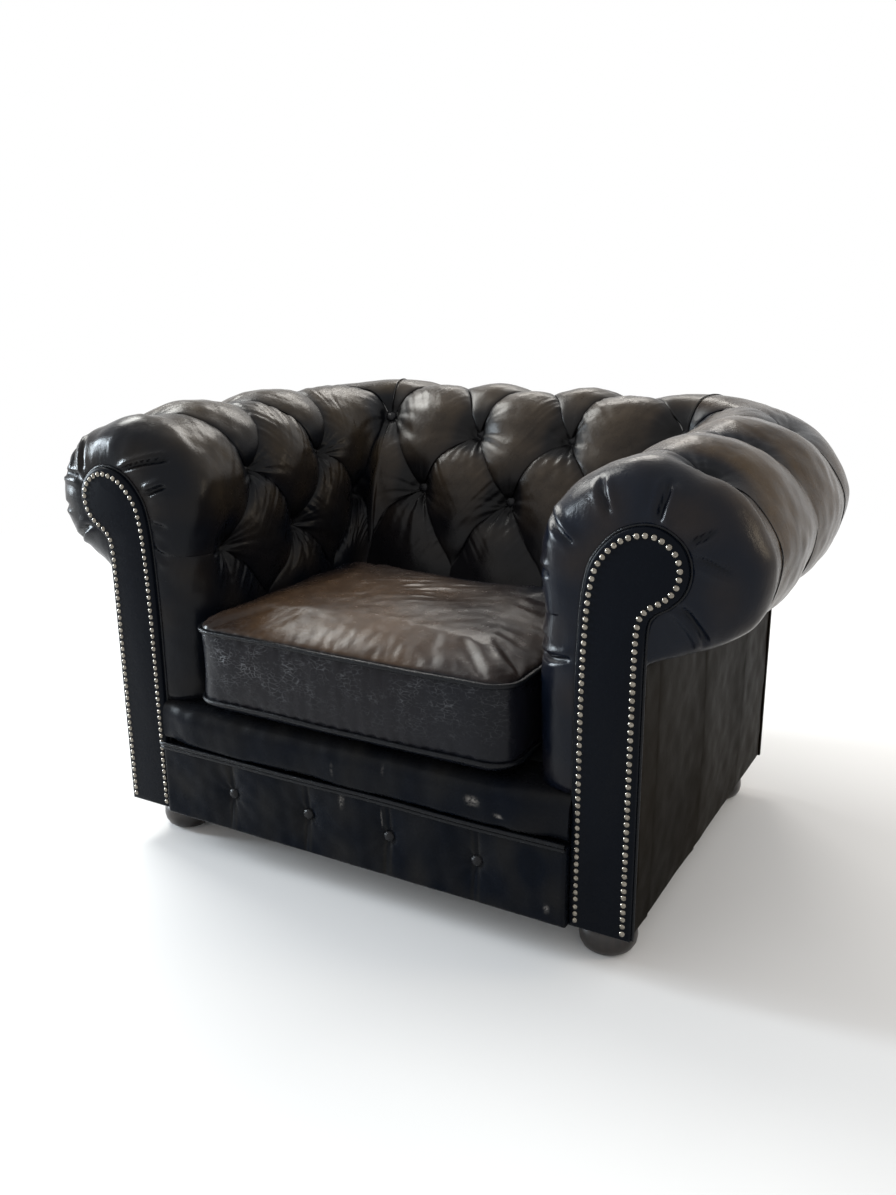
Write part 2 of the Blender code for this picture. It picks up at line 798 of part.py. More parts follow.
def front_border(leather):
    """Padded panel under the lip, pleated at its buttons, with piping along its top."""
    top = web_top_z
    r = 0.8 * piping_radius
    flat = top - 2 * r
    rows = [
        (base_z, border_turn, 1.0),
        (base_z + border_turn, 0.25 * border_turn, 1.0),
        (base_z + 0.3 * (flat - base_z), 0.0, 1.0),
        (border_button_z, 0.0, 1.0),
        (base_z + 0.75 * (flat - base_z), 0.0, 1.0),
        (flat - 1.5 * r, 0.25 * r, 0.5),
        (flat, r, 0.0),
        (flat + 0.3 * r, -0.75 * r, 0.0),
        (flat + r, -1.25 * r, 0.0),
        (flat + 1.7 * r, -0.75 * r, 0.0),
        (top, r, 0.0),
    ]
    folds = [-lip_half_width, *border_folds(), lip_half_width]
    steps = 6
    across = []
    for a, b in zip(folds, folds[1:]):
        across += [a + (b - a) * i / steps for i in range(steps)]
    across.append(lip_half_width)
    bm = bmesh.new()
    grid = []
    for x in across:
        line = []
        for z, inset, share in rows:
            y = border_front_y + inset + share * border_depth(x, z)
            line.append(bm.verts.new((x, y, z)))
        grid.append(line)
    for left, right in zip(grid, grid[1:]):
        for j in range(len(rows) - 1):
            bm.faces.new((left[j], right[j], right[j + 1], left[j + 1]))
    rim = [e for e in bm.edges if e.is_boundary]
    made = bmesh.ops.extrude_edge_only(bm, edges=rim)["geom"]
    for item in made:
        if isinstance(item, bmesh.types.BMVert):
            item.co.y = front_y + facing_thickness
    bmesh.ops.holes_fill(bm, edges=[e for e in bm.edges if e.is_boundary], sides=0)
    pad = finish_mesh("front_border", bm, leather)
    seats = []
    for x in border_folds():
        y = border_front_y + border_depth(x, border_button_z) + button_sink
        seats.append(seat(Vector((x, y, border_button_z)), Vector((0, -1, 0))))
    boolean(pad, pockets(seats, border_button_radius, 0.03), "DIFFERENCE")
    for i, at in enumerate(seats, 1):
        button_object(f"border_button_{i}", at, border_button_radius, button_height, leather)


def outside_panels(leather):
    top = seam_z - gap
    for side in (1, -1):
        x = sorted((side * (frame_outer_x + gap), side * outside_x))
        low = (x[0], post_front_y, base_z)
        box(name_of("outside_arm", side), low, (x[1], frame_outer_y, top), leather)
    low = (-outside_x, frame_outer_y + gap, base_z)
    box("outside_back", low, (outside_x, outside_y, top), leather)


def frame_boards(wood):
    """Posts, rails and the corner blocks, each cut to meet the next."""
    front_back = post_front_y + board
    rear_front = frame_outer_y - board
    for side in (1, -1):
        low, high = sorted((side * frame_inner_x, side * frame_outer_x))
        box(
            name_of("front_post", side),
            (low, post_front_y, base_z),
            (high, front_back, top_rail_z),
            wood,
        )
        box(
            name_of("rear_post", side),
            (low, rear_front, base_z),
            (high, frame_outer_y, top_rail_z),
            wood,
        )
        box(
            name_of("arm_rail", side),
            (low, front_back + gap, top_rail_z - top_rail_height),
            (high, rear_front - gap, top_rail_z),
            wood,
        )
        low, high = sorted((side * (frame_outer_x - board), side * frame_outer_x))
        box(
            name_of("side_rail", side),
            (low, front_back + gap, base_z),
            (high, rear_front - gap, rail_top_z),
            wood,
        )
        inner = frame_outer_x - board - gap - block_height
        low, high = sorted((side * inner, side * (frame_outer_x - board - gap)))
        for name, y in (("front", front_back + gap), ("rear", rear_front - gap - block_height)):
            box(
                name_of(f"{name}_corner_block", side),
                (low, y, base_z),
                (high, y + block_height, base_z + block_height),
                wood,
            )
    span = frame_inner_x - gap
    box("front_rail", (-span, post_front_y, base_z), (span, front_back, rail_top_z), wood)
    box("back_rail", (-span, rear_front, base_z), (span, frame_outer_y, rail_top_z), wood)
    low = (-span, frame_inner_y, top_rail_z - top_rail_height)
    box("back_top_rail", low, (span, frame_outer_y, top_rail_z), wood)


def seat_support(webbing, foam, cloth):
    """Webbing from rail to rail, the platform on it, and the dust cover under the frame."""
    pitch = 2 * frame_inner_x / (web_count + 1)
    margin = 0.004
    for i in range(web_count):
        x = (i - (web_count - 1) / 2) * pitch
        low = (x - web_width / 2, post_front_y + margin, rail_top_z + gap)
        high = (x + web_width / 2, frame_outer_y - margin, web_top_z)
        box(f"seat_web_{i + 1}", low, high, webbing)
    low = (gap - frame_inner_x, lip_back_y + gap, web_top_z + gap)
    high = (frame_inner_x - gap, frame_inner_y - gap, deck_z)
    box("seat_platform", low, high, foam)
    x_out, y_front, y_rear = frame_outer_x, post_front_y, frame_outer_y
    x_in = foot_x - foot_radius - margin
    y_in_front = front_foot_y + foot_radius + margin
    y_in_rear = rear_foot_y - foot_radius - margin
    quarter = ((x_out, y_in_front), (x_in, y_in_front), (x_in, y_front))
    rear = ((x_in, y_rear), (x_in, y_in_rear), (x_out, y_in_rear))
    right = [*rear, *quarter]
    left = [(-x, y) for x, y in reversed(right)]
    z_low = base_z - gap - cover_thickness
    bm = bmesh.new()
    face = bm.faces.new([bm.verts.new((x, y, z_low)) for x, y in right + left])
    made = bmesh.ops.extrude_face_region(bm, geom=[face])["geom"]
    moved = [item for item in made if isinstance(item, bmesh.types.BMVert)]
    bmesh.ops.translate(bm, vec=(0, 0, cover_thickness), verts=moved)
    finish_mesh("dust_cover", bm, cloth)


def feet(wood):
    """Turned bun feet, screwed up against the frame at its corners."""
    height = base_z - gap
    r = foot_radius
    profile = (
        (0.70 * r, 0.0),
        (0.88 * r, 0.12 * height),
        (r, 0.36 * height),
        (0.94 * r, 0.60 * height),
        (0.74 * r, 0.78 * height),
        (0.70 * r, 0.84 * height),
        (0.80 * r, 0.90 * height),
        (0.80 * r, height),
    )
    for side in (1, -1):
        for name, y in (("front", front_foot_y), ("rear", rear_foot_y)):
            bm = bmesh.new()
            turned(bm, profile, 18, seat(Vector((side * foot_x, y, 0)), Vector((0, 0, 1))))
            finish_mesh(name_of(f"{name}_foot", side), bm, wood, smooth=True)


def main():
    clear_scene()
    leather = material("worn_leather", (0.024, 0.021, 0.020), 0.42)
    cushion_leather = material("cushion_leather", (0.060, 0.040, 0.028), 0.40)
    beech = material("frame_wood", (0.52, 0.38, 0.24), 0.65)
    foot_wood = material("foot_wood", (0.020, 0.013, 0.010), 0.35)
    webbing = material("webbing", (0.10, 0.09, 0.08), 0.85)
    foam = material("platform_cloth", (0.05, 0.05, 0.055), 0.90)
    cloth = material("dust_cloth", (0.03, 0.03, 0.03), 0.95)
    buttoned_pads(leather)
    for side in (1, -1):
        facing(side, leather)
    seat_cushion(cushion_leather)
    front_lip(leather)
    front_border(leather)
    outside_panels(leather)
    frame_boards(beech)
    seat_support(webbing, foam, cloth)
    feet(foot_wood)


main()
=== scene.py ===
import math

import bmesh
import bpy
import numpy as np
from mathutils import Matrix, Vector


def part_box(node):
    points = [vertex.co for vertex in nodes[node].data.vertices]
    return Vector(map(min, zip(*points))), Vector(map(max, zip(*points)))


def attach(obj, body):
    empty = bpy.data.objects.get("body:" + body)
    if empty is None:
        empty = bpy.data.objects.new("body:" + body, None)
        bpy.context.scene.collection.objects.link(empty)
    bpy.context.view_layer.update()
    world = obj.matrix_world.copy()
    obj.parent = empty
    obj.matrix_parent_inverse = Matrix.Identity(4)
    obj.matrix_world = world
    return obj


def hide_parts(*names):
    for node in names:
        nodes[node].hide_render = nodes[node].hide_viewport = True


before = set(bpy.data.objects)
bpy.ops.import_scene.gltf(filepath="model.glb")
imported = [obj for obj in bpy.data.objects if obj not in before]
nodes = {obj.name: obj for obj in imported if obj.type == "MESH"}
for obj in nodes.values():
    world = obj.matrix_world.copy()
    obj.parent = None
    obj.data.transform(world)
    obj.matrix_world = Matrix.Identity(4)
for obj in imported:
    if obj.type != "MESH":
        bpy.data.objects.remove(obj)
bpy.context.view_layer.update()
print("frame loaded:", len(nodes), "nodes")

# the chair's own sizes in metres, the same as in the CAD
chair = {
    "halfSeat": 0.290, "backPlane": 0.123, "frontY": -0.410, "armTop": 0.722, "deck": 0.260,
    "footHeight": 0.0627, "reach": 0.307, "backLean": 0.100, "cornerRadius": 0.020, "gap": 0.0003,
    "stuffing": 0.079, "frameWidth": 0.071, "panel": 0.0127, "topRail": 0.550,
    "armPitch": 0.200, "cornerLead": 0.084, "facingThickness": 0.018, "frontBand": 0.0715,
    "facingSetIn": 0.0012, "headOffset": 0.1545, "headDrop": 0.1465, "headRadius": 0.0625,
    "frontRound": 0.065, "bandSetBack": 0.008, "seamRow": -1.80, "seamShare": 0.422,
    "cornerLift": 0.30, "backLift": 0.13, "armLift": -0.06,
    "mitre": 75, "armCorner": 0.5, "backCorner": 0.1,
}

# one section of the roll: row, distance from the inner face, lean and height, all as shares
rollSection = np.array([
    (4.00, 0.000, 1.00, 0.000), (2.90, 0.000, 0.58, 0.325), (2.00, 0.000, 0.26, 0.541),
    (1.60, 0.007, 0.12, 0.649), (1.30, 0.026, 0.00, 0.736), (0.96, 0.072, -0.16, 0.823),
    (0.72, 0.156, -0.17, 0.909), (0.54, 0.277, -0.10, 0.963), (0.28, 0.456, 0.00, 1.000),
    (0.04, 0.651, 0.00, 0.985), (-0.22, 0.831, 0.00, 0.926), (-0.45, 0.945, 0.00, 0.823),
    (-0.70, 1.000, 0.00, 0.703), (-1.00, 0.945, 0.00, 0.563), (-1.30, 0.798, 0.00, 0.476),
    (-1.55, 0.655, 0.00, 0.437),
])

# edge of a facing's head by the same rows: row, then x and z from its centre, as shares of its radius
facingHead = np.array([
    (1.95, -1.272, -0.960), (1.55, -1.192, -0.256), (1.25, -1.048, 0.216), (0.90, -0.712, 0.656),
    (0.60, -0.360, 0.896), (0.30, 0.088, 1.000), (0.00, 0.488, 0.904), (-0.25, 0.824, 0.616),
    (-0.50, 0.960, 0.200), (-0.72, 0.872, -0.232), (-0.95, 0.600, -0.560), (-1.15, 0.288, -0.768),
    (-1.38, 0.152, -1.024),
])

seamN = chair["stuffing"] + chair["frameWidth"] + chair["panel"]
seamZ = chair["deck"] + chair["seamShare"] * (chair["armTop"] - chair["deck"])
baseZ = chair["footHeight"] + chair["gap"]
cornerX = chair["halfSeat"] - chair["cornerRadius"]
cornerY = chair["backPlane"] - chair["cornerRadius"]
bandY = chair["frontY"] + chair["bandSetBack"]
headX = chair["halfSeat"] + chair["headOffset"]
headZ = chair["armTop"] - chair["headDrop"]
facingInner = chair["halfSeat"] + chair["frontBand"]
facingOuter = chair["halfSeat"] + seamN - chair["facingSetIn"]
backPitch = cornerX - chair["cornerLead"]
firstArmY = cornerY - 0.5 * chair["armPitch"]
lastColumn = 1 + (firstArmY - bandY - chair["frontRound"]) / chair["armPitch"]
lastButton = math.floor(lastColumn - 0.55) + 0.5
backColumns = 3.0
bothSides = {"Right": 1, "Left": -1}


def smoothStep(low, high, value):
    t = np.clip((value - low) / (high - low), 0, 1)
    return t * t * (3 - 2 * t)


def ripples(points, size, seed):
    # seeded smooth lumps about this many metres across, mostly from -1 to 1
    rng = np.random.default_rng(seed)
    total = np.zeros(len(points))
    waves = 14
    for _ in range(waves):
        way = rng.normal(size=3)
        way *= 2 * math.pi / size * rng.uniform(0.6, 1.5) / np.linalg.norm(way)
        total += np.sin(points @ way + rng.uniform(0, 2 * math.pi))
    return total / math.sqrt(waves / 2) * 0.6


def throughPoints(points, at):
    # smooth curve through rows of (key, values...), keys falling
    at = np.atleast_1d(np.asarray(at, float))
    last = len(points) - 1
    here = np.clip(np.searchsorted(-points[:, 0], -at, side="left") - 1, 0, last - 1)
    a, b = points[here], points[here + 1]
    before, after = points[np.maximum(here - 1, 0)], points[np.minimum(here + 2, last)]
    span = (b[:, 0] - a[:, 0])[:, None]
    t = (at - a[:, 0])[:, None] / span
    slopeA = (b - before) / (b[:, :1] - before[:, :1]) * span
    slopeB = (after - a) / (after[:, :1] - a[:, :1]) * span
    value = (2 * t**3 - 3 * t**2 + 1) * a + (t**3 - 2 * t**2 + t) * slopeA
    value += (3 * t**2 - 2 * t**3) * b + (t**3 - t**2) * slopeB
    return value[:, 1:]


seamPoint = np.array([[chair["seamRow"], seamN / chair["reach"], 0.0, chair["seamShare"]]])
rollPoints = np.vstack([rollSection, seamPoint])


def section(row):
    share = throughPoints(rollPoints, row)
    n = share[:, 0] * chair["reach"]
    z = chair["deck"] + chair["gap"] + share[:, 2] * (chair["armTop"] - chair["deck"] - chair["gap"])
    return n, n - share[:, 1] * chair["backLean"], z


# the section's length along the leather, looked up by row
tableRows = np.linspace(4.0, chair["seamRow"], 1200)
tableN, _, tableZ = section(tableRows)
tableLength = np.concatenate([[0], np.cumsum(np.hypot(np.diff(tableN), np.diff(tableZ)))])


def lengthAt(row):
    return np.interp(-np.asarray(row, float), -tableRows, tableLength)


def outward(row):
    nA, _, zA = section(np.minimum(row + 0.02, 4.0))
    nB, _, zB = section(np.maximum(row - 0.02, chair["seamRow"]))
    length = np.hypot(nB - nA, zB - zA)
    return -(zB - zA) / length, (nB - nA) / length


def lifted(row, column, lift):
    # the buttons stand higher in the corners than along the straight
    lift = lift + (chair["cornerLift"] - lift) * (1 - smoothStep(0.0, 1.0, column))
    return row - lift * smoothStep(-0.2, 0.8, row) * (1 - smoothStep(2.2, 3.6, row))


def cornerPoint(nArm, nBack, row, angle):
    # plan point on the right corner: angle 0 is on the arm, 90 degrees on the back
    across = chair["cornerRadius"] + nArm
    deep = chair["cornerRadius"] + np.maximum(nBack, 0)
    power = 1 / (0.5 - 0.44 * smoothStep(1.3, 1.8, -row))
    cosine, sine = np.maximum(np.cos(angle), 1e-9), np.maximum(np.sin(angle), 1e-9)
    reach = ((cosine / across) ** power + (sine / deep) ** power) ** (-1 / power)
    return cornerX + reach * cosine, cornerY + np.minimum(nBack, 0) + reach * sine


def armPlan(column, row, n, nBack, z):
    turn = cornerY + np.minimum(nBack, 0)
    angle = math.radians(chair["mitre"]) * (1 - np.clip(column, 0, chair["armCorner"]) / chair["armCorner"])
    x, y = cornerPoint(n, nBack, row, angle)
    share = np.clip((column - chair["armCorner"]) / (1 - chair["armCorner"]), 0, 1)
    straightY = turn + (firstArmY - turn) * share - chair["armPitch"] * np.maximum(column - 1, 0)
    bent = column <= chair["armCorner"]
    return np.stack([np.where(bent, x, chair["halfSeat"] + n), np.where(bent, y, straightY), z], 1)


def backPlan(column, row, n, nBack, z):
    side = np.where(column > 1.5, -1.0, 1.0)
    column = np.where(column > 1.5, 3.0 - column, column)
    end = chair["backCorner"]
    angle = np.radians(chair["mitre"] + (90 - chair["mitre"]) * np.clip(column, 0, end) / end)
    x, y = cornerPoint(n, nBack, row, angle)
    share = np.clip((column - end) / (0.5 - end), 0, 1)
    straightX = cornerX + (backPitch - cornerX) * share - backPitch * np.maximum(column - 0.5, 0)
    bent = column <= end
    return np.stack([side * np.where(bent, x, straightX), np.where(bent, y, chair["backPlane"] + nBack), z], 1)


def leatherPoint(plan, column, row, inward):
    # a point of the arm's or the back's leather, drawn in along the section's normal
    onArm = plan is armPlan
    corner = column if onArm else np.minimum(column, 3.0 - column)
    row = lifted(row, corner, chair["armLift"] if onArm else chair["backLift"])
    n, nBack, z = section(row)
    across, up = outward(row)
    return plan(column, row, n - across * inward, nBack - across * inward, z - up * inward)


def facingEdge(row):
    inner = facingInner - headX
    side = np.array([(r, inner, section(r)[2][0] - headZ) for r in (4.0, 2.9)])
    head = facingHead * (1, chair["headRadius"], chair["headRadius"])
    foot = np.array([[chair["seamRow"], facingOuter - headX, seamZ + 0.003 - headZ]])
    return throughPoints(np.vstack([side, head, foot]), row) + (headX, headZ)


def upright(line, y):
    # a line of (x, z) stood up at this y
    return np.stack([line[:, 0], np.full(len(line), y), line[:, 1]], 1)


def offsetLine(points, distance):
    # moves an open line to the left of its travel
    along = np.gradient(points, axis=0)
    normal = np.stack([-along[:, 1], along[:, 0]], 1)
    return points + normal / np.linalg.norm(normal, axis=1)[:, None] * distance


def addPiece(name, points, faces, finish, slot, *stands, sharp=None):
    # a piece that rides with the chair and hides the nodes it stands for; the slot is not used
    mesh = bpy.data.meshes.new(name)
    mesh.from_pydata(np.asarray(points).tolist(), [], [list(face) for face in faces])
    bm = bmesh.new()
    bm.from_mesh(mesh)
    bmesh.ops.recalc_face_normals(bm, faces=bm.faces)
    bm.to_mesh(mesh)
    bm.free()
    mesh.materials.append(finishes[finish])
    mesh.shade_smooth()
    if sharp:
        mesh.set_sharp_from_angle(angle=math.radians(sharp))
    piece = bpy.data.objects.new(name, mesh)
    bpy.context.scene.collection.objects.link(piece)
    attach(piece, "root")
    if stands:
        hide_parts(*stands)
    return piece


def addValues(piece, name, values, rest=0.0):
    # a number for each point, which the finish reads by this name; points past the given ones get the rest
    full = np.full(len(piece.data.vertices), rest, np.float32)
    full[: len(values)] = values
    piece.data.attributes.new(name, "FLOAT", "POINT").data.foreach_set("value", full)


def nodesOf(start):
    return [node for node in nodes if node.startswith(start)]


def gridFaces(lines, across, closed=False):
    # quads between neighbouring lines of points
    steps = across if closed else across - 1
    i, j = np.meshgrid(np.arange(lines - 1), np.arange(steps), indexing="ij")
    i, j = i.ravel(), j.ravel()
    k = (j + 1) % across
    return np.stack([i * across + j, (i + 1) * across + j, (i + 1) * across + k, i * across + k], 1)


def joined(parts):
    # several (points, faces) as one
    points, faces, count = [], [], 0
    for partPoints, partFaces in parts:
        points.append(np.asarray(partPoints))
        faces += [[index + count for index in face] for face in partFaces]
        count += len(partPoints)
    return np.vstack(points), faces


def tube(path, radius, sides=8, closed=False):
    path = np.asarray(path, float)
    if closed:
        along = np.roll(path, -1, 0) - np.roll(path, 1, 0)
    else:
        along = np.gradient(path, axis=0)
    along /= np.linalg.norm(along, axis=1)[:, None]
    side = np.cross(along[0], (0, 0, 1) if abs(along[0][2]) < 0.9 else (0, 1, 0))
    rings = []
    turns = np.linspace(0, 2 * math.pi, sides, endpoint=False)
    for point, way in zip(path, along):
        side = side - way * (side @ way)
        side /= np.linalg.norm(side)
        other = np.cross(way, side)
        rings.append(point + radius * (np.cos(turns)[:, None] * side + np.sin(turns)[:, None] * other))
    points = np.vstack(rings)
    faces = gridFaces(len(path), sides, closed=True).tolist()
    if closed:
        last = (len(path) - 1) * sides
        faces += [[last + j, j, (j + 1) % sides, last + (j + 1) % sides] for j in range(sides)]
    else:
        faces += [list(range(sides)), list(range(len(points) - sides, len(points)))]
    return points, faces


def turned(profile, sides, at, axis=(0, 0, 1)):
    # a profile of (radius, height) turned about an axis
    axis = np.asarray(axis, float) / np.linalg.norm(axis)
    side = np.cross(axis, (1, 0, 0) if abs(axis[0]) < 0.8 else (0, 1, 0))
    side /= np.linalg.norm(side)
    other = np.cross(axis, side)
    turns = np.linspace(0, 2 * math.pi, sides, endpoint=False)
    ring = np.cos(turns)[:, None] * side + np.sin(turns)[:, None] * other
    points = np.vstack([np.asarray(at) + r * ring + h * axis for r, h in profile])
    faces = gridFaces(len(profile), sides, closed=True).tolist()
    faces += [list(range(sides)), list(range(len(points) - sides, len(points)))]
    return points, faces


class Recipe:
    # short calls for building one material
    def __init__(self, name):
        self.material = bpy.data.materials.new(name)
        self.material.use_nodes = True
        self.tree = self.material.node_tree
        self.shader = self.tree.nodes["Principled BSDF"]
        self.place = self.node("ShaderNodeTexCoord").outputs["Object"]

    def node(self, kind, inputs=None, **settings):
        made = self.tree.nodes.new(kind)
        for key, value in settings.items():
            setattr(made, key, value)
        for key, value in (inputs or {}).items():
            self.put(made.inputs[key], value)
        return made

    def put(self, socket, value):
        if isinstance(value, bpy.types.NodeSocket):
            self.tree.links.new(value, socket)
        elif isinstance(value, tuple) and len(socket.default_value) == 4:
            socket.default_value = (*value, 1)
        else:
            socket.default_value = value

    def noise(self, scale, detail=4, roughness=0.55, place=None, twist=0.0, output="Fac"):
        inputs = {"Vector": place or self.place, "Scale": scale, "Detail": detail}
        return self.node("ShaderNodeTexNoise", {**inputs, "Roughness": roughness, "Distortion": twist}).outputs[output]

    def cells(self, scale, place=None):
        inputs = {"Vector": place or self.place, "Scale": scale}
        return self.node("ShaderNodeTexVoronoi", inputs, feature="DISTANCE_TO_EDGE").outputs["Distance"]

    def stretched(self, scale):
        return self.node("ShaderNodeMapping", {"Vector": self.place, "Scale": scale}).outputs["Vector"]

    def math(self, kind, a, b=0.0, clamp=False):
        return self.node("ShaderNodeMath", {0: a, 1: b}, operation=kind, use_clamp=clamp).outputs[0]

    def vector(self, kind, inputs):
        return self.node("ShaderNodeVectorMath", inputs, operation=kind)

    def spread(self, value, low, high, toLow=0.0, toHigh=1.0):
        inputs = {"Value": value, "From Min": low, "From Max": high, "To Min": toLow, "To Max": toHigh}
        return self.node("ShaderNodeMapRange", inputs).outputs["Result"]

    def mix(self, share, a, b):
        return self.node("ShaderNodeMix", {"Factor": share, 6: a, 7: b}, data_type="RGBA").outputs[2]

    def value(self, name):
        return self.node("ShaderNodeAttribute", attribute_name=name).outputs["Fac"]

    def bump(self, height, distance, strength=1.0, under=None):
        inputs = {"Height": height, "Distance": distance, "Strength": strength}
        if under:
            inputs["Normal"] = under
        return self.node("ShaderNodeBump", inputs).outputs["Normal"]

    def finish(self, **sockets):
        for key, value in sockets.items():
            self.put(self.shader.inputs[key.replace("_", " ")], value)
        return self.material


# dark and worn colours, roughness, gloss and how far the drawn grain stands out
leathers = {
    # the two arms share one leather; the right arm's dark colour is bluer and its worn colour browner: painted light,
    # cool on its front and warm on its outer side
    "armLeatherLeft": ((0.0034, 0.0042, 0.0064), (0.040, 0.028, 0.015), 0.22, 0.125, 0.0016),
    "armLeatherRight": ((0.0024, 0.0042, 0.0090), (0.050, 0.031, 0.014), 0.21, 0.15, 0.0016),
    "backLeather": ((0.0038, 0.0036, 0.0046), (0.044, 0.032, 0.021), 0.26, 0.17, 0.0016),
    "seatLeather": ((0.0042, 0.0050, 0.0078), (0.066, 0.038, 0.020), 0.24, 0.14, 0.0005),
    # the front leather of the facings, lip and border is a darker, bluer copy: painted shade, as the fronts get little
    # light
    "shadedFrontLeather": ((0.0016, 0.0028, 0.0056), (0.012, 0.0115, 0.011), 0.26, 0.05, 0.0005),
    "sideLeather": ((0.0045, 0.0033, 0.0019), (0.0100, 0.0073, 0.0042), 0.42, 0.012, 0.0005),
}


def leatherFinish(name):
    dark, worn, roughness, gloss, grain = leathers[name]
    r = Recipe(name)
    wear, fold = r.value("wear"), r.value("fold")
    patches = r.noise(7, 5, 0.6, twist=0.4)
    mottle = r.noise(45, 4, 0.6)
    streaked = r.stretched((1.0, 1.0, 0.12) if name == "sideLeather" else (1.0, 0.25, 1.0))
    streaks = r.noise(110, 4, 0.7, place=streaked)
    # the worn colour comes in by the wear mask, which also carries painted light and shade
    share = r.math("MULTIPLY", r.spread(patches, 0.3, 0.7, 0.72, 1.15), wear)
    share = r.math("MULTIPLY", share, r.spread(mottle, 0.25, 0.75, 0.75, 1.2), clamp=True)
    share = r.math("MULTIPLY", share, r.spread(streaks, 0.3, 0.7, 0.90, 1.08), clamp=True)
    color = r.mix(share, dark, worn)
    # painted shade: the fold mask darkens the leather in the folds, creases, button dimples and seams
    color = r.mix(r.spread(fold, 0.45, 1.0, 0.0, 0.75), color, tuple(0.25 * c for c in dark))
    # fine cracks in the surface, paler where the colour has worn off
    flat = r.stretched((0.7, 0.7, 1.5))
    shift = r.noise(60, 2, 0.5, place=flat, output="Color")
    small = r.vector("SCALE", {0: shift, "Scale": 0.016}).outputs["Vector"]
    warped = r.vector("ADD", {0: flat, 1: small}).outputs["Vector"]
    cracks = r.spread(r.cells(120, place=warped), 0.0, 0.07, 1.0, 0.0)
    where = r.math("MULTIPLY", r.spread(r.noise(30, 4, 0.7), 0.42, 0.62), r.value("crackle"))
    cracked = r.math("MULTIPLY", cracks, where)
    color = r.mix(r.math("MULTIPLY", cracked, 0.75), color, (0.13, 0.135, 0.145))
    # scuffs down to the raw hide
    torn = r.spread(r.noise(260, 4, 0.75, twist=0.8), 0.42, 0.55)
    rubbed = r.math("MULTIPLY", r.value("scuff"), torn, clamp=True)
    color = r.mix(rubbed, color, (0.16, 0.15, 0.14))
    pebbles = r.spread(r.cells(620), 0.0, 0.35)
    pores = r.noise(1500, 3, 0.6)
    soft = r.noise(90, 6, 0.65, twist=0.6)
    drawn = r.noise(70, 5, 0.6, place=r.stretched((1.0, 1.0, 0.22)), twist=0.5)
    normal = r.bump(soft, 0.0012, 0.25)
    normal = r.bump(drawn, grain, 0.3, under=normal)
    normal = r.bump(cracked, 0.0005, 0.5, under=normal)
    normal = r.bump(pebbles, 0.00012, 0.35, under=normal)
    normal = r.bump(pores, 0.00004, 0.4, under=normal)
    shine = r.spread(mottle, 0.2, 0.8, roughness - 0.05, roughness + 0.07)
    shine = r.math("ADD", shine, r.math("MULTIPLY", fold, 0.12))
    return r.finish(Base_Color=color, Roughness=shine, Normal=normal, Specular_IOR_Level=gloss)


def tightLeatherFinish(name, color, roughness, specular):
    # the tight leather of piping, fold edges and buttons
    r = Recipe(name)
    mottle = r.noise(120, 4, 0.6)
    tone = r.mix(r.spread(mottle, 0.3, 0.75), color, tuple(2.2 * c for c in color))
    grain = r.bump(r.spread(r.cells(700), 0.0, 0.35), 0.0003, 0.5)
    shine = r.spread(mottle, 0.2, 0.8, roughness, roughness + 0.12)
    return r.finish(Base_Color=tone, Roughness=shine, Normal=grain, Specular_IOR_Level=specular)


def nailFinish():
    r = Recipe("nailMetal")
    dull = r.noise(400, 3, 0.6)
    tone = r.mix(r.spread(dull, 0.35, 0.7), (0.30, 0.275, 0.235), (0.11, 0.098, 0.080))
    shine = r.spread(dull, 0.3, 0.7, 0.14, 0.28)
    return r.finish(Base_Color=tone, Roughness=shine, Normal=r.bump(r.noise(900, 2), 0.0001, 0.4), Metallic=1.0)


def woodFinish(name, light, dark, roughness):
    r = Recipe(name)
    place = r.stretched((1.0, 1.0, 0.12))
    rings = r.noise(38, 5, 0.6, place=place, twist=1.4)
    pores = r.noise(420, 3, 0.7, place=place)
    tone = r.mix(r.spread(rings, 0.35, 0.65), light, dark)
    tone = r.mix(r.spread(pores, 0.55, 0.75, 0.0, 0.5), tone, dark)
    shine = r.spread(rings, 0.3, 0.7, roughness, roughness + 0.15)
    return r.finish(Base_Color=tone, Roughness=shine, Normal=r.bump(pores, 0.0003, 0.4))


def wovenFinish(name, color, thread, roughness):
    # threads both ways, this many metres apart
    r = Recipe(name)
    parts = r.node("ShaderNodeSeparateXYZ", {0: r.place})
    waves = [r.math("SINE", r.math("MULTIPLY", parts.outputs[k], math.pi / thread)) for k in (0, 1)]
    weave = r.math("ABSOLUTE", r.math("MULTIPLY", waves[0], waves[1]))
    fuzz = r.noise(300, 4, 0.7)
    tone = r.mix(weave, tuple(0.45 * c for c in color), color)
    tone = r.mix(r.spread(fuzz, 0.4, 0.8, 0.0, 0.4), tone, tuple(1.5 * c for c in color))
    return r.finish(Base_Color=tone, Normal=r.bump(weave, 0.0006, 0.7), Roughness=roughness)


# colour, roughness and gloss of the tight leather, the two colours and roughness of the wood,
# and the colour, thread and roughness of the cloth
tightLeathers = {
    "foldLeather": ((0.0035, 0.0035, 0.0042), 0.30, 0.12),
    # a pale colour for the fold edges: a painted highlight
    "rubbedEdge": ((0.110, 0.108, 0.106), 0.20, 0.8),
    "pipingLeather": ((0.0022, 0.0026, 0.0036), 0.18, 0.16),
    "buttonLeather": ((0.0036, 0.0036, 0.0044), 0.20, 0.20),
}
woods = {
    "footWood": ((0.014, 0.009, 0.007), (0.005, 0.0035, 0.003), 0.28),
    "beech": ((0.50, 0.36, 0.22), (0.36, 0.24, 0.13), 0.55),
}
cloths = {
    "webbing": ((0.16, 0.13, 0.10), 0.0022, 0.85),
    "platformCloth": ((0.045, 0.045, 0.050), 0.0014, 0.85),
    "dustCloth": ((0.020, 0.020, 0.021), 0.0009, 0.95),
}
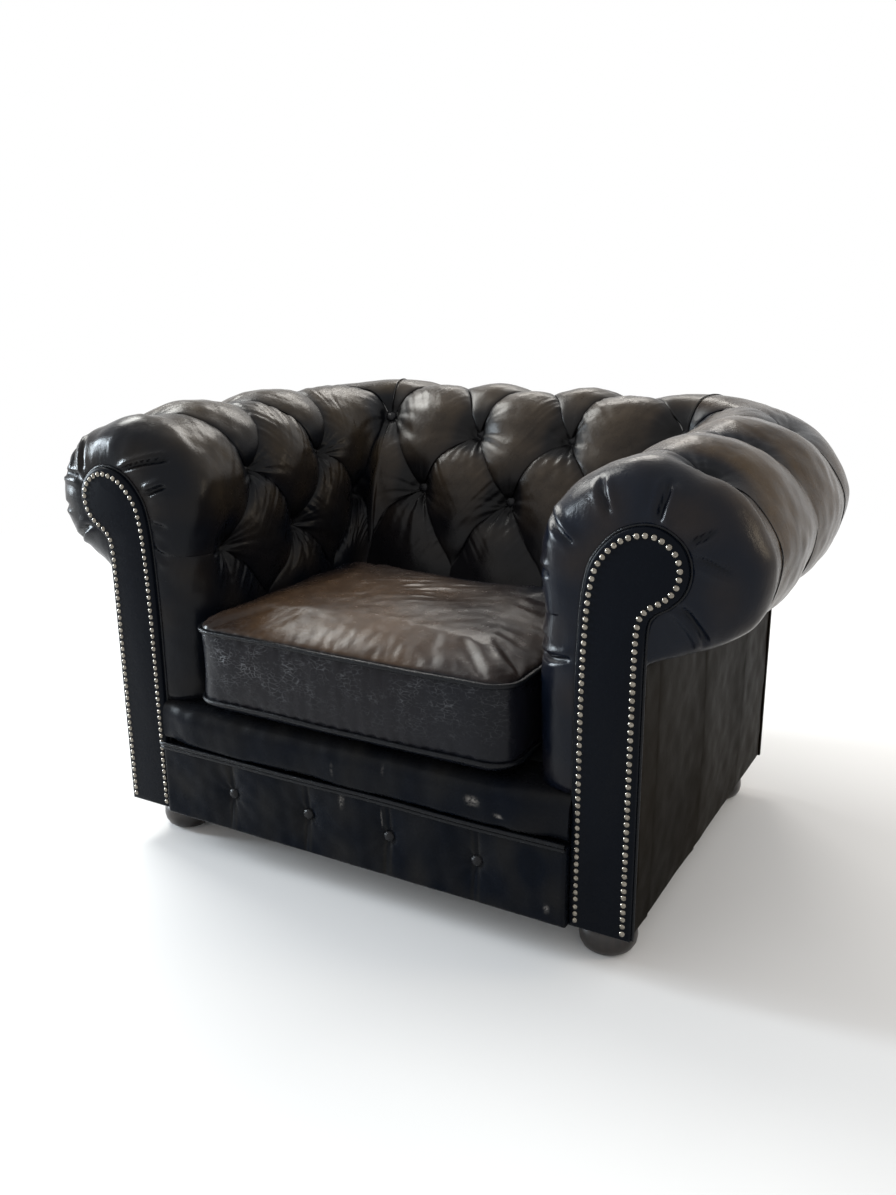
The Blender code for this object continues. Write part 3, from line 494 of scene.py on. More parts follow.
finishes = {name: leatherFinish(name) for name in leathers}
finishes["nailMetal"] = nailFinish()
for make, looks in ((tightLeatherFinish, tightLeathers), (woodFinish, woods), (wovenFinish, cloths)):
    finishes.update({name: make(name, *look) for name, look in looks.items()})
print("finishes made:", len(finishes))


view = {"place": (0.8817, -1.6647, 0.9438), "turn": 0.51260, "down": 0.29150, "roll": -0.0074, "lens": 33.59}
lamps = {
    "windowLeft": {"at": (-5.0, -1.25, 1.20), "size": (0.8, 2.3), "power": 350, "color": (0.82, 0.92, 1.0)},
    "windowHigh": {"at": (-2.1, 0.55, 2.40), "size": (1.3, 0.8), "power": 58, "color": (0.98, 0.98, 0.94)},
    "highBack": {"at": (-0.9, 2.1, 2.30), "size": (1.2, 0.5), "power": 20, "color": (1.0, 0.96, 0.90)},
    "warmRight": {"at": (2.7, 0.6, 1.5), "size": (0.6, 0.9), "power": 10, "color": (1.0, 0.84, 0.62)},
}
room = {"floorColor": (0.82, 0.82, 0.82), "fill": 0.86, "floorSize": 30.0, "whiteFrom": 1.0, "whiteTo": 2.7}


def setCamera():
    data = bpy.data.cameras.new("photoCamera")
    data.sensor_width = 36
    data.lens = view["lens"]
    camera = bpy.data.objects.new("photoCamera", data)
    bpy.context.scene.collection.objects.link(camera)
    turn, down = view["turn"], view["down"]
    ahead = Vector((-math.sin(turn) * math.cos(down), math.cos(turn) * math.cos(down), -math.sin(down)))
    right = Vector((math.cos(turn), math.sin(turn), 0))
    up = right.cross(ahead)
    cosine, sine = math.cos(view["roll"]), math.sin(view["roll"])
    right, up = cosine * right + sine * up, cosine * up - sine * right
    camera.matrix_world = Matrix.Translation(view["place"]) @ Matrix((right, up, -ahead)).transposed().to_4x4()
    bpy.context.scene.camera = camera


def setLamps():
    target = Vector((0.0, -0.05, 0.42))
    for name, lamp in lamps.items():
        data = bpy.data.lights.new(name, "AREA")
        data.shape = "RECTANGLE"
        data.size, data.size_y = lamp["size"]
        data.energy = lamp["power"]
        data.color = lamp["color"]
        placed = bpy.data.objects.new(name, data)
        placed.location = lamp["at"]
        placed.rotation_mode = "QUATERNION"
        placed.rotation_quaternion = (target - placed.location).to_track_quat("-Z", "Y")
        bpy.context.scene.collection.objects.link(placed)


def seenRays(tree):
    # 1 where the camera, a reflection or glass looks at the background
    path = tree.nodes.new("ShaderNodeLightPath")
    most = path.outputs["Is Camera Ray"]
    for name in ("Is Glossy Ray", "Is Transmission Ray"):
        larger = tree.nodes.new("ShaderNodeMath")
        larger.operation = "MAXIMUM"
        tree.links.new(most, larger.inputs[0])
        tree.links.new(path.outputs[name], larger.inputs[1])
        most = larger.outputs[0]
    return most


def setRoom():
    world = bpy.data.worlds.new("paleRoom")
    bpy.context.scene.world = world
    world.use_nodes = True
    tree = world.node_tree
    back = tree.nodes["Background"]
    back.inputs["Color"].default_value = (1, 1, 1, 1)
    strength = tree.nodes.new("ShaderNodeMapRange")
    strength.inputs["To Min"].default_value = room["fill"]
    strength.inputs["To Max"].default_value = 1.0
    tree.links.new(seenRays(tree), strength.inputs["Value"])
    tree.links.new(strength.outputs["Result"], back.inputs["Strength"])
    r = Recipe("paleFloor")
    length = r.vector("LENGTH", {0: r.place}).outputs["Value"]
    far = r.spread(length, room["whiteFrom"], room["whiteTo"])
    far = r.math("MULTIPLY", far, seenRays(r.tree), clamp=True)
    r.finish(Base_Color=room["floorColor"], Roughness=0.9, Specular_IOR_Level=0.0)
    glow = r.node("ShaderNodeEmission").outputs[0]
    blend = r.node("ShaderNodeMixShader", {"Fac": far, 1: r.shader.outputs[0], 2: glow})
    r.put(r.tree.nodes["Material Output"].inputs["Surface"], blend.outputs[0])
    half = room["floorSize"] / 2
    mesh = bpy.data.meshes.new("floor")
    corners = [(x * half, y * half, 0) for x, y in ((-1, -1), (1, -1), (1, 1), (-1, 1))]
    mesh.from_pydata(corners, [], [(0, 1, 2, 3)])
    mesh.materials.append(r.material)
    floor = bpy.data.objects.new("floor", mesh)
    bpy.context.scene.collection.objects.link(floor)
    bpy.context.scene.view_settings.view_transform = "Standard"


setCamera()
setLamps()
setRoom()
print("camera, lamps and floor set")


tufting = {
    "foldDepth": 0.022, "dimpleDepth": 0.016, "wideDimple": 0.050, "tightDimple": 0.026,
    "stepsPerRow": 44, "frontSteps": 30, "overlap": 0.060, "radialWrinkles": 0.0019,
    "gathers": 0.0013, "lumps": 0.0016, "pleatRadius": 0.0009, "fill": 0.85,
    "creaseWidth": 0.0042, "frontSwell": 0.009,
    # how far the folds swing out of straight, as columns and rows: down-right ones, then down-left ones
    "armSwing": ((-0.050, -0.044), (-0.055, 0.048)),
    "backSwing": ((0.0, 0.0), (0.082, -0.063)),
}
# creases round an arm's front: row at the facing, row at the outside, from and to along the way, depth
frontCreases = {
    "right": (
        (0.16, 0.13, 0.03, 0.55, 0.0042), (-0.24, -0.30, 0.02, 0.38, 0.0042), (-0.39, -0.63, 0.02, 0.38, 0.0038),
        (-0.92, -1.27, 0.02, 0.58, 0.0042), (0.62, 0.56, 0.14, 0.60, 0.0036), (1.15, 0.98, 0.20, 0.84, 0.0036),
        (1.56, 1.55, 0.44, 0.76, 0.0030), (1.85, 1.84, 0.70, 0.92, 0.0030), (2.10, 2.08, 0.78, 1.02, 0.0032),
        (2.38, 2.36, 0.55, 1.00, 0.0030), (2.55, 2.57, 0.05, 0.78, 0.0034),
    ),
    "left": (
        (-0.20, -0.18, 0.10, 0.80, 0.0034), (-0.35, -0.34, 0.30, 0.80, 0.0030), (-0.32, -0.52, 0.06, 0.62, 0.0040),
        (0.62, 0.76, 0.03, 0.62, 0.0052), (1.15, 1.08, 0.06, 0.42, 0.0048), (-0.77, -0.78, 0.34, 0.90, 0.0026),
        (-0.94, -1.12, 0.06, 0.62, 0.0040), (1.62, 1.62, 0.04, 0.30, 0.0022), (1.95, 1.96, 0.04, 0.28, 0.0022),
        (2.00, 2.02, 0.04, 0.30, 0.0024), (2.06, 2.08, 0.05, 0.28, 0.0022),
    ),
}


def puffFullness(column, row, last):
    # 0 on a fold and 1 in the middle of a puff
    inside = np.clip(row, 0, 3)
    held = np.minimum(column, last)
    p, q = held + (inside - 1) / 2, held - (inside - 1) / 2
    full = np.sqrt(np.abs(np.sin(np.pi * p) * np.sin(np.pi * q)))
    past = smoothStep(0.0, 0.4, column - last)
    return full + (1 - full) * past, p, q, past


def tuftDepth(column, row, pitch, last, spots):
    full, _, _, _ = puffFullness(column, row, last)
    fade = 1 - 0.8 * smoothStep(2.3, 4.0, row) - 0.6 * smoothStep(0.1, 0.7, -row)
    fade = fade - 0.35 * smoothStep(0.7, 1.8, -row)
    inward = tufting["foldDepth"] * (1 - full) * fade
    near = np.zeros(len(column))
    for spotColumn, spotRow in spots:
        away = np.hypot((column - spotColumn) * pitch, lengthAt(row) - lengthAt(spotRow))
        inward += 0.5 * tufting["dimpleDepth"] * np.exp(-((away / tufting["wideDimple"]) ** 2))
        inward += 0.5 * tufting["dimpleDepth"] * np.exp(-((away / tufting["tightDimple"]) ** 2))
        near = np.maximum(near, np.exp(-((away / 0.030) ** 2)))
        # flat under the button itself, so that all of it shows
        seated = 1 - smoothStep(0.008, 0.022, away)
        inward += (tufting["foldDepth"] + tufting["dimpleDepth"] - inward) * seated
    # the second value is the fold mask, high in the folds and round the buttons, with which the finish paints shade
    # there
    return inward, np.clip((1 - full) * fade * 0.8 + near, 0, 1)


def overlapShift(column, row, last, swing):
    # the upper puff hangs a little over the fold below it, and the folds swing out between buttons
    _, p, q, past = puffFullness(column, row, last)
    swingP = np.abs(np.sin(np.pi * q)) * np.cos(np.pi * p) ** 2 * (1 - past)
    swingQ = np.abs(np.sin(np.pi * p)) * np.cos(np.pi * q) ** 2 * (1 - past)
    fade = smoothStep(-0.1, 0.3, row) * (1 - smoothStep(2.4, 3.0, row))
    swingColumn = fade * (swing[0][0] * swingP + swing[1][0] * swingQ)
    swingRow = fade * (swing[0][1] * swingP + swing[1][1] * swingQ)
    under = np.ceil(p) - p
    over = q - np.floor(q)
    weight = tufting["overlap"] * smoothStep(0.0, 0.2, row) * (1 - smoothStep(2.5, 3.0, row)) * (1 - past)
    shiftP = weight * under / 0.045 * np.exp(1 - under / 0.045)
    shiftQ = weight * over / 0.045 * np.exp(1 - over / 0.045)
    # none of it at the mitres, so that the arm and the back meet there
    fromMitre = np.minimum(column, backColumns - column) if last == backColumns else column
    kept = smoothStep(0.0, 0.15, fromMitre)
    return kept * ((shiftP - shiftQ) / 2 + swingColumn), kept * (shiftP + shiftQ + swingRow)


def wrinkleHeight(column, row, pitch, last, spots, seed):
    # small gathers that run out of the buttons and down from the folds
    rng = np.random.default_rng(seed)
    _, p, q, past = puffFullness(column, row, last)
    height = np.zeros(len(column))
    for spotColumn, spotRow in spots:
        phases, counts = rng.uniform(0, 2 * math.pi, 4), rng.uniform(0.85, 1.15, 4) * (8, 12, 17, 23)
        dx, dz = (column - spotColumn) * pitch, lengthAt(row) - lengthAt(spotRow)
        away, turn = np.hypot(dx, dz), np.arctan2(dx, -dz)
        ridges = sum(np.cos(count * turn + phase) for count, phase in zip(counts, phases)) / 2.2
        reach = np.exp(-away / 0.040) * (1 - np.exp(-((away / 0.013) ** 2)))
        height += tufting["radialWrinkles"] * ridges * reach * (1.0 + (0.5 + 0.4 * spotRow) * np.cos(turn))
    for along, below, strength in ((q, p - np.floor(p), 1.0), (p, np.ceil(q) - q, 0.6)):
        phases = rng.uniform(0, 2 * math.pi, 3)
        bend = 0.6 * np.sin(5 * along + phases[2])
        ridges = np.cos(2 * np.pi * 7.3 * along + phases[0] + bend)
        ridges += 0.8 * np.cos(2 * np.pi * 12.7 * along + phases[1] + 2 * bend)
        patch = np.sin(2.7 * along + phases[2]) + 0.5 * np.sin(6.1 * along + phases[0])
        ridges *= 0.25 + 0.75 * smoothStep(-0.3, 0.7, patch)
        gather = np.exp(-below / 0.20) * (1 - np.exp(-below / 0.04))
        height += tufting["gathers"] * strength * ridges * gather * (1 - past)
    where = smoothStep(-0.25, 0.15, row) * (1 - smoothStep(2.7, 3.0, row))
    return height * where


def gridNormals(points, shape):
    grid = points.reshape(*shape, 3)
    normal = np.cross(np.gradient(grid, axis=0), np.gradient(grid, axis=1)).reshape(-1, 3)
    return normal / np.maximum(np.linalg.norm(normal, axis=1), 1e-12)[:, None]


def leatherRows():
    steps = tufting["stepsPerRow"]
    low = np.linspace(4.0, 3.0, 13)[:-1]
    buttoned = 3.0 - np.arange(3 * steps) / steps
    outer = -np.arange(int(-chair["seamRow"] * steps) + 1) / steps
    return np.concatenate([low, buttoned, outer, [chair["seamRow"]]])


def innerRows(plan, columns):
    # the pad's hidden inside, against the frame
    inner, outer = chair["stuffing"] - chair["gap"], chair["stuffing"] + chair["frameWidth"] + chair["gap"]
    top, low = chair["topRail"] + chair["gap"], chair["deck"] + chair["gap"]
    lines = []
    for n, z in ((outer, seamZ), (outer, top), (inner, top), (inner, low)):
        full = np.ones(len(columns))
        lines.append(plan(columns, full * chair["seamRow"], full * n, full * n, full * z))
    return np.stack(lines, 1)


def buttonSpots(last):
    # whole columns in row 1, half columns in rows 0 and 2
    starts = ((0, 0.5), (1, 0.0), (2, 0.5))
    return [(column, row) for row, start in starts for column in np.arange(start, last + 0.01, 1.0)]


def foldLines(last):
    # the folds between buttons and the pleats down the outside: which way each runs, the row it starts in
    # and its (column, row) points
    lines = []
    for column, row in buttonSpots(last):
        for way in (-0.5, 0.5):
            end = column + way
            if not -0.01 <= end <= last + 0.01:
                continue
            low = 0.04 if row == 0 else row + 0.07
            high = 0.93 if row == 0 else row + (0.93 if row == 1 else 0.6)
            lines.append((way, row, [(column + way * (r - row), r) for r in np.linspace(low, high, 40)]))
        if row == 0:
            lines.append((0, row, [(column, r) for r in np.linspace(-0.06, chair["seamRow"] + 0.05, 40)]))
    if last == backColumns:
        mitre = np.linspace(0.9, chair["seamRow"] + 0.05, 60)
        lines += [(0, 1, [(column, r) for r in mitre]) for column in (0.0, last)]
    return lines


def leatherPad(name, node, finish, skin, inner, rows, labels, fold, wear):
    # skin and the hidden inside as one closed form; the cells are cut along the folds
    columns = len(skin)
    grid = np.concatenate([skin, inner], 1)
    across = grid.shape[1]
    quads = gridFaces(columns, across, closed=True)
    i, j = quads[:, 0] // across, quads[:, 0] % across
    end = len(rows) - 1
    middleRow = np.where(j < end, (rows[np.minimum(j, end)] + rows[np.minimum(j + 1, end)]) / 2, 0)
    middle = (labels[i] + labels[np.minimum(i + 1, columns - 1)]) / 2
    p, q = middle + (middleRow - 1) / 2, middle - (middleRow - 1) / 2
    other = np.abs(q - np.round(q)) < np.abs(p - np.round(p))
    a, b, c, d = quads.T
    first = np.where(other[:, None], np.stack([b, c, d], 1), np.stack([a, b, c], 1))
    second = np.where(other[:, None], np.stack([b, d, a], 1), np.stack([a, c, d], 1))
    faces = np.vstack([first, second]).tolist()
    faces.append(list(range(across))[::-1])
    faces.append(list(range((columns - 1) * across, columns * across)))
    piece = addPiece(name, grid.reshape(-1, 3), faces, finish, "worn_leather", node)
    for kind, values in (("fold", fold), ("wear", wear)):
        full = np.ones((columns, across))
        full[:, : len(rows)] = values.reshape(columns, len(rows))
        addValues(piece, kind, full.ravel())
    print(piece.name, "points:", len(piece.data.vertices))


def wearAndPaintedLightOf(points, normals, fold, kind, side):
    # where the colour has rubbed to brown: the crowns of the puffs, the tops and the outer roll, with painted light
    # and shade mixed in
    # partly real wear and partly painted warm light from above: browner on upward faces
    up = smoothStep(-0.1, 0.8, normals[:, 2])
    crown = 1 - smoothStep(0.15, 0.75, fold)
    wear = crown * (0.35 + 0.45 * up)
    if kind == "arm":
        # painted shade: darker towards the arm fronts
        front = smoothStep(-0.30, -0.385, points[:, 1])
        outerSide = smoothStep(0.50, 0.56, np.abs(points[:, 0]))
        # painted warm light: the right arm's outer roll browner than the left's
        wear = wear * (1 - 0.85 * front) + outerSide * (1 - front) * (0.55 if side > 0 else 0.15)
        # painted shade: darker low down by the seat, except on the outer side
        low = 1 - smoothStep(0.47, 0.58, points[:, 2])
        wear *= 1 - 0.8 * low * (1 - outerSide)
    else:
        # painted shade: dark low down on the seat side only
        inner = 1 - smoothStep(0.29, 0.35, points[:, 1])
        wear *= 1 - 0.88 * inner * (1 - smoothStep(0.44, 0.56, points[:, 2]))
    return np.clip(wear + 0.12 * ripples(points, 0.10, 71), 0, 1)


def pleatEdges(name, plan, pitch, last, spots, side, swing):
    # the thin turned edge of leather that shows along each fold; some edges are painted pale, a painted highlight
    # where the edge would catch the light
    dark, glinting = [], []
    for way, start, line in foldLines(last):
        column, row = np.array(line).T
        inward, _ = tuftDepth(column, row, pitch, last, spots)
        moveColumn, moveRow = overlapShift(column, row, last, swing)
        path = leatherPoint(plan, column + moveColumn, row + moveRow, inward - 0.0010)
        path[:, 0] *= side
        # these edges get the pale colour, a painted highlight
        rubbed = way < 0 and (start == 0 or plan is backPlan)
        edge = tube(path, tufting["pleatRadius"], 6)
        (glinting if rubbed else dark).append(edge)
    for parts, kind in ((dark, "foldLeather"), (glinting, "rubbedEdge")):
        addPiece(name + kind[0].upper() + kind[1:], *joined(parts), kind, "worn_leather")


def armPad(label, side):
    rows = leatherRows()
    step = 0.5 / tufting["stepsPerRow"]
    straight = np.append(np.arange(0, lastColumn - 0.4 * step, step), lastColumn)
    spots = buttonSpots(lastButton)
    column, row = [grid.ravel() for grid in np.meshgrid(straight, rows, indexing="ij")]
    inward, fold = tuftDepth(column, row, chair["armPitch"], lastButton, spots)
    moveColumn, moveRow = overlapShift(column, row, lastButton, tufting["armSwing"])
    points = leatherPoint(armPlan, column + moveColumn, row + moveRow, inward)
    points = points.reshape(len(straight), len(rows), 3)
    # round the front end into the facing
    outline, edge = points[-1][:, [0, 2]], offsetLine(facingEdge(rows), 0.0003)
    rings = []
    frontSteps = tufting["frontSteps"]
    for k in range(1, frontSteps + 1):
        angle = math.pi / 2 * k / frontSteps
        share = math.cos(angle) ** 0.85 if k < frontSteps else 0.0
        ring = edge + (outline - edge) * share
        y = bandY + chair["frontRound"] * (1 - math.sin(angle))
        rings.append(upright(ring, y))
    behindFacing = chair["frontY"] + chair["facingThickness"]
    rings.append(upright(edge, behindFacing))
    points = np.concatenate([points, np.stack(rings)], 0)
    total = len(points)
    labels = np.append(straight, np.full(total - len(straight), lastColumn))
    # how far each line is from the facing: 0 there, 1 where the arm runs straight
    onTop = 1 + (lastColumn - straight) * chair["armPitch"] / 0.1
    way = np.concatenate([onTop, 1 - np.arange(1, frontSteps + 1) / frontSteps, [0.0]])
    wayEach = np.repeat(way, len(rows))
    flat = points.reshape(-1, 3)
    normals = gridNormals(flat, (total, len(rows)))
    column = np.concatenate([column, np.full((total - len(straight)) * len(rows), lastColumn + 1.0)])
    row = np.tile(rows, total)
    height = wrinkleHeight(column, row, chair["armPitch"], lastButton, spots, 11 if side > 0 else 23)
    height *= smoothStep(0.0, 0.25, column)
    steps = np.linalg.norm(np.diff(points, axis=1), axis=2)
    metres = np.concatenate([np.zeros((total, 1)), np.cumsum(steps, 1)], 1)
    creases = np.zeros((total, len(rows)))
    width = tufting["creaseWidth"]
    # each a groove with the leather swollen beside it
    for rowIn, rowOut, start, end, depth in frontCreases[label.lower()]:
        share = np.clip((way - start) / (end - start), 0, 1)
        centre = rowIn + (rowOut - rowIn) * share + 0.03 * np.sin(2.6 * share) * np.sign(rowOut - rowIn)
        at = np.array([np.interp(-c, -rows, m) for c, m in zip(centre, metres)])
        away = metres - at[:, None]
        strength = 1.6 * depth * smoothStep(start - 0.03, start + 0.10, way)
        strength = strength * (1 - smoothStep(end - 0.12, end + 0.03, way))
        groove = np.exp(-((away / width) ** 2))
        swell = 0.55 * np.exp(-(((away - 2.2 * width) / (1.5 * width)) ** 2))
        swell += 0.25 * np.exp(-(((away + 2.4 * width) / (1.6 * width)) ** 2))
        creases -= strength[:, None] * (groove - swell)
    lumps = tufting["lumps"] * ripples(flat, 0.15, 5) + 0.0005 * ripples(flat, 0.045, 6)
    lumps *= smoothStep(0.0, 0.2, column) * smoothStep(0.0, 0.25, wayEach)
    high = smoothStep(0.44, 0.50, flat[:, 2]) * (1 - smoothStep(0.60, 0.70, flat[:, 2]))
    near = smoothStep(0.0, 0.6, wayEach) * (1 - smoothStep(0.9, 1.9, wayEach))
    lumps += tufting["frontSwell"] * high * near * (flat[:, 0] < headX)
    towardsOut = np.sign((normals * (flat - (headX - 0.02, 0, headZ - 0.04))).sum(1).reshape(total, -1).sum())
    normals *= towardsOut
    flat = flat + normals * (height + creases.ravel() + lumps)[:, None]
    fold = np.concatenate([fold, np.zeros(len(flat) - len(fold))])
    # painted shade in the front creases, through the fold mask
    fold = np.maximum(fold, np.clip(-creases.ravel() / 0.005, 0, 0.8))
    wear = wearAndPaintedLightOf(flat, normals, fold, "arm", side)
    mirror = np.array([side, 1, 1])
    inner = innerRows(armPlan, np.append(straight, np.full(total - len(straight), lastColumn)))
    inner[len(straight) - 1 :, :, 1] = behindFacing
    skin = flat.reshape(total, len(rows), 3) * mirror
    leatherPad("insideArm" + label, "inside_arm_" + label.lower(), "armLeather" + label,
               skin, inner * mirror, rows, labels, fold, wear)
    pleatEdges("arm" + label, armPlan, chair["armPitch"], lastButton, spots, side, tufting["armSwing"])


def backPad():
    rows = leatherRows()
    columns = np.arange(0, 6 * tufting["stepsPerRow"] + 1) * 0.5 / tufting["stepsPerRow"]
    spots = buttonSpots(backColumns)
    column, row = [grid.ravel() for grid in np.meshgrid(columns, rows, indexing="ij")]
    inward, fold = tuftDepth(column, row, backPitch, backColumns, spots)
    moveColumn, moveRow = overlapShift(column, row, backColumns, tufting["backSwing"])
    flat = leatherPoint(backPlan, column + moveColumn, row + moveRow, inward)
    normals = gridNormals(flat, (len(columns), len(rows)))
    normals *= np.sign(normals[np.argmax(flat[:, 2])][2])
    corner = np.minimum(column, 3.0 - column)
    height = wrinkleHeight(column, row, backPitch, backColumns, spots, 37) * smoothStep(0.0, 0.25, corner)
    lumps = tufting["lumps"] * ripples(flat, 0.15, 5) + 0.0005 * ripples(flat, 0.045, 6)
    lumps *= smoothStep(0.0, 0.2, corner)
    flat = flat + normals * (height + lumps)[:, None]
    wear = wearAndPaintedLightOf(flat, normals, fold, "back", 1)
    skin = flat.reshape(len(columns), len(rows), 3)
    leatherPad("insideBack", "inside_back", "backLeather",
               skin, innerRows(backPlan, columns), rows, columns, fold, wear)
    pleatEdges("back", backPlan, backPitch, backColumns, spots, 1, tufting["backSwing"])


# the profile is (share of the radius, share of the height)
buttons = {
    "radius": 0.0115, "height": 0.010, "sink": 0.0045, "sides": 20,
    "profile": (
        (0.80, 0.0), (0.97, 0.14), (1.0, 0.32), (0.95, 0.52), (0.82, 0.72), (0.60, 0.88), (0.33, 0.97), (0.10, 1.0),
    ),
}


def dome(radius, sides, at, axis):
    profile = [(r * radius, h * buttons["height"]) for r, h in buttons["profile"]]
    return turned(profile, sides, at, axis)


def tuftButtons(name, plan, last, side, replaced):
    parts = []
    for column, row in buttonSpots(last):
        if plan is armPlan and column == 0 and row == 1:
            continue  # the back has the corner's button
        full = tufting["foldDepth"] + tufting["dimpleDepth"]
        point, top = leatherPoint(plan, np.full(2, column), np.full(2, row), np.array([full, 0.0]))
        near = 0.02
        nearColumns = np.array([column + near, max(column - near, 0), column, column])
        nearRows = np.array([row, row, row - near, row + near])
        ahead, behind, above, below = leatherPoint(plan, nearColumns, nearRows, np.zeros(4))
        normal = np.cross(ahead - behind, above - below)
        normal /= np.linalg.norm(normal)
        away = top - point
        if away @ normal < 0:
            normal = -normal
        if plan is backPlan and row == 1 and column in (0, backColumns):
            normal = away / np.linalg.norm(away)
        parts.append(dome(buttons["radius"], buttons["sides"], point - normal * buttons["sink"], normal))
    points, faces = joined(parts)
    addPiece(name, points * (side, 1, 1), faces, "buttonLeather", "worn_leather", *nodesOf(replaced))


for label, side in bothSides.items():
    armPad(label, side)
backPad()
for label, side in bothSides.items():
    tuftButtons("armButtons" + label, armPlan, lastButton, side, "button_arm_" + label.lower())
tuftButtons("backButtons", backPlan, backColumns, 1, "button_back")
print("buttoned pads made")


facings = {"rounding": 0.0045, "crown": 0.0012, "weltRadius": 0.0024, "weltOut": 0.0012}
# the nails' profile is (share of the radius, share of the height), and they sit a little unevenly
nails = {
    "inset": 0.0105, "pitch": 0.0109, "radius": 0.0043, "height": 0.0034, "sides": 16,
    "drift": 0.00025, "lean": 0.07,
    "profile": ((1.0, 0.0), (1.02, 0.10), (0.93, 0.42), (0.74, 0.70), (0.45, 0.91), (0.16, 1.0)),
}


def facingOutline():
    rows = np.concatenate([np.linspace(4.0, 2.0, 30), np.linspace(1.97, chair["seamRow"], 190)])
    edge = facingEdge(rows)
    footIn = np.array([[facingInner, z] for z in np.linspace(baseZ, edge[0][1], 24)[:-1]])
    footOut = np.array([[facingOuter, z] for z in np.linspace(edge[-1][1], baseZ, 40)[1:]])
    return np.vstack([footIn, edge, footOut])


def facingPiece(label, side):
    line = facingOutline()
    face = chair["frontY"]
    back = face + chair["facingThickness"]
    r = facings["rounding"]
    rings = []
    for inset, y in ((0, back), (0, face + r), (0.13 * r, face + 0.5 * r), (0.5 * r, face + 0.13 * r), (r, face),
                     (2.2 * r, face - facings["crown"])):
        moved = offsetLine(line, -inset)
        moved[0, 1] = moved[-1, 1] = baseZ + inset
        rings.append(upright(moved, y))
    across = len(line)
    faces = gridFaces(len(rings), across, closed=True).tolist()
    faces.append(list(range(across)))
    faces.append(list(range((len(rings) - 1) * across, len(rings) * across)))
    piece = addPiece("facing" + label, np.vstack(rings) * (side, 1, 1), faces, "shadedFrontLeather",
                     "worn_leather", "facing_" + label.lower(), sharp=50)
    addValues(piece, "wear", 0.10 + 0.15 * ripples(np.vstack(rings), 0.2, 8).clip(0, 1))
    out = facings["weltOut"]
    points, weltFaces = tube(upright(offsetLine(line, out), bandY + out), facings["weltRadius"])
    addPiece("facingWelt" + label, points * (side, 1, 1), weltFaces, "pipingLeather", "worn_leather")


def nailRow(label, side):
    rng = np.random.default_rng(3 if side > 0 else 4)
    foot = baseZ + 1.2 * nails["inset"]
    line = facingOutline()
    line = line[(line[:, 1] > foot) | (np.abs(line[:, 0] - headX) > 1)]
    line = offsetLine(line, -nails["inset"])
    line[0, 1] = line[-1, 1] = foot
    lengths = np.concatenate([[0], np.cumsum(np.linalg.norm(np.diff(line, axis=0), axis=1))])
    count = round(lengths[-1] / nails["pitch"])
    profile = [(r * nails["radius"], h * nails["height"]) for r, h in nails["profile"]]
    parts = []
    for i in range(count + 1):
        at = lengths[-1] * i / count + rng.normal() * nails["drift"]
        x, z = np.interp(at, lengths, line[:, 0]), np.interp(at, lengths, line[:, 1])
        lean = rng.normal(size=2) * nails["lean"]
        parts.append(turned(profile, nails["sides"], (x, chair["frontY"] - 0.0002, z), (lean[0], -1, lean[1])))
    points, faces = joined(parts)
    piece = addPiece("nails" + label, points * (side, 1, 1), faces, "nailMetal", "nail_metal")
    print(piece.name, "count:", count + 1)


for label, side in bothSides.items():
    facingPiece(label, side)
    nailRow(label, side)


def boardPiece(name, node, finish, slot, corner, ways, size, surface, us, vs, rounding=0.006):
    # a covered board from its low corner, across, up and out: surface(u, v) is how far each point stands out
    width, height, thickness = size
    u, v = [grid.ravel() for grid in np.meshgrid(us, vs, indexing="ij")]
    stand = surface(u, v)
    near = np.minimum(np.minimum(u, width - u), np.minimum(v, height - v))
    t = np.clip(1 - near / rounding, 0, 1)
    stand = stand * (1 - t**2) - rounding * (1 - np.sqrt(np.maximum(1 - t**2, 0)))
    corner, (acrossWay, upWay, out) = np.array(corner, float), np.array(ways, float)
    front = corner + u[:, None] * acrossWay + v[:, None] * upWay + stand[:, None] * out
    count, high = len(us), len(vs)
    rim = np.concatenate([
        np.arange(count) * high, (count - 1) * high + np.arange(1, high),
        (np.arange(count - 1) * high + high - 1)[::-1], np.arange(1, high - 1)[::-1],
    ])
    flatRim = corner + u[rim][:, None] * acrossWay + v[rim][:, None] * upWay
    back = flatRim - thickness * out
    faces = gridFaces(count, high).tolist()
    base = len(front)
    loop = len(rim)
    faces += [[rim[k], rim[(k + 1) % loop], base + (k + 1) % loop, base + k] for k in range(loop)]
    faces.append([base + k for k in range(loop)])
    return addPiece(name, np.vstack([front, back]), faces, finish, slot, node, sharp=60), front


def edged(length, steps, rounding=0.006):
    # even steps with closer ones at both ends
    ends = rounding * (1 - np.cos(np.linspace(0, math.pi / 2, 6)))
    middle = np.linspace(rounding, length - rounding, steps)
    return np.concatenate([ends[:-1], middle, (length - ends[::-1])[1:]])


def withLines(steps, lines, reach, count):
    # closer steps round these lines
    return np.unique(np.concatenate([steps] + [line + np.linspace(-reach, reach, count) for line in lines]))


# pleats at these y on the arms, and this far in from the left end of the back
outside = {
    "armPleats": (-0.34, -0.13, 0.10), "backPleats": (0.30, 0.60), "pleatDepth": 0.0042,
    "armBulge": 0.0035, "backBulge": 0.005,
}


def pleatProfile(distance):
    # a turned edge on one side of the line, and the leather running under it on the other
    under = np.exp(-np.clip(distance, 0, None) / 0.007) * (distance >= 0)
    over = np.exp(-np.clip(-distance, 0, None) / 0.030) * (distance < 0)
    return 0.6 * over - under


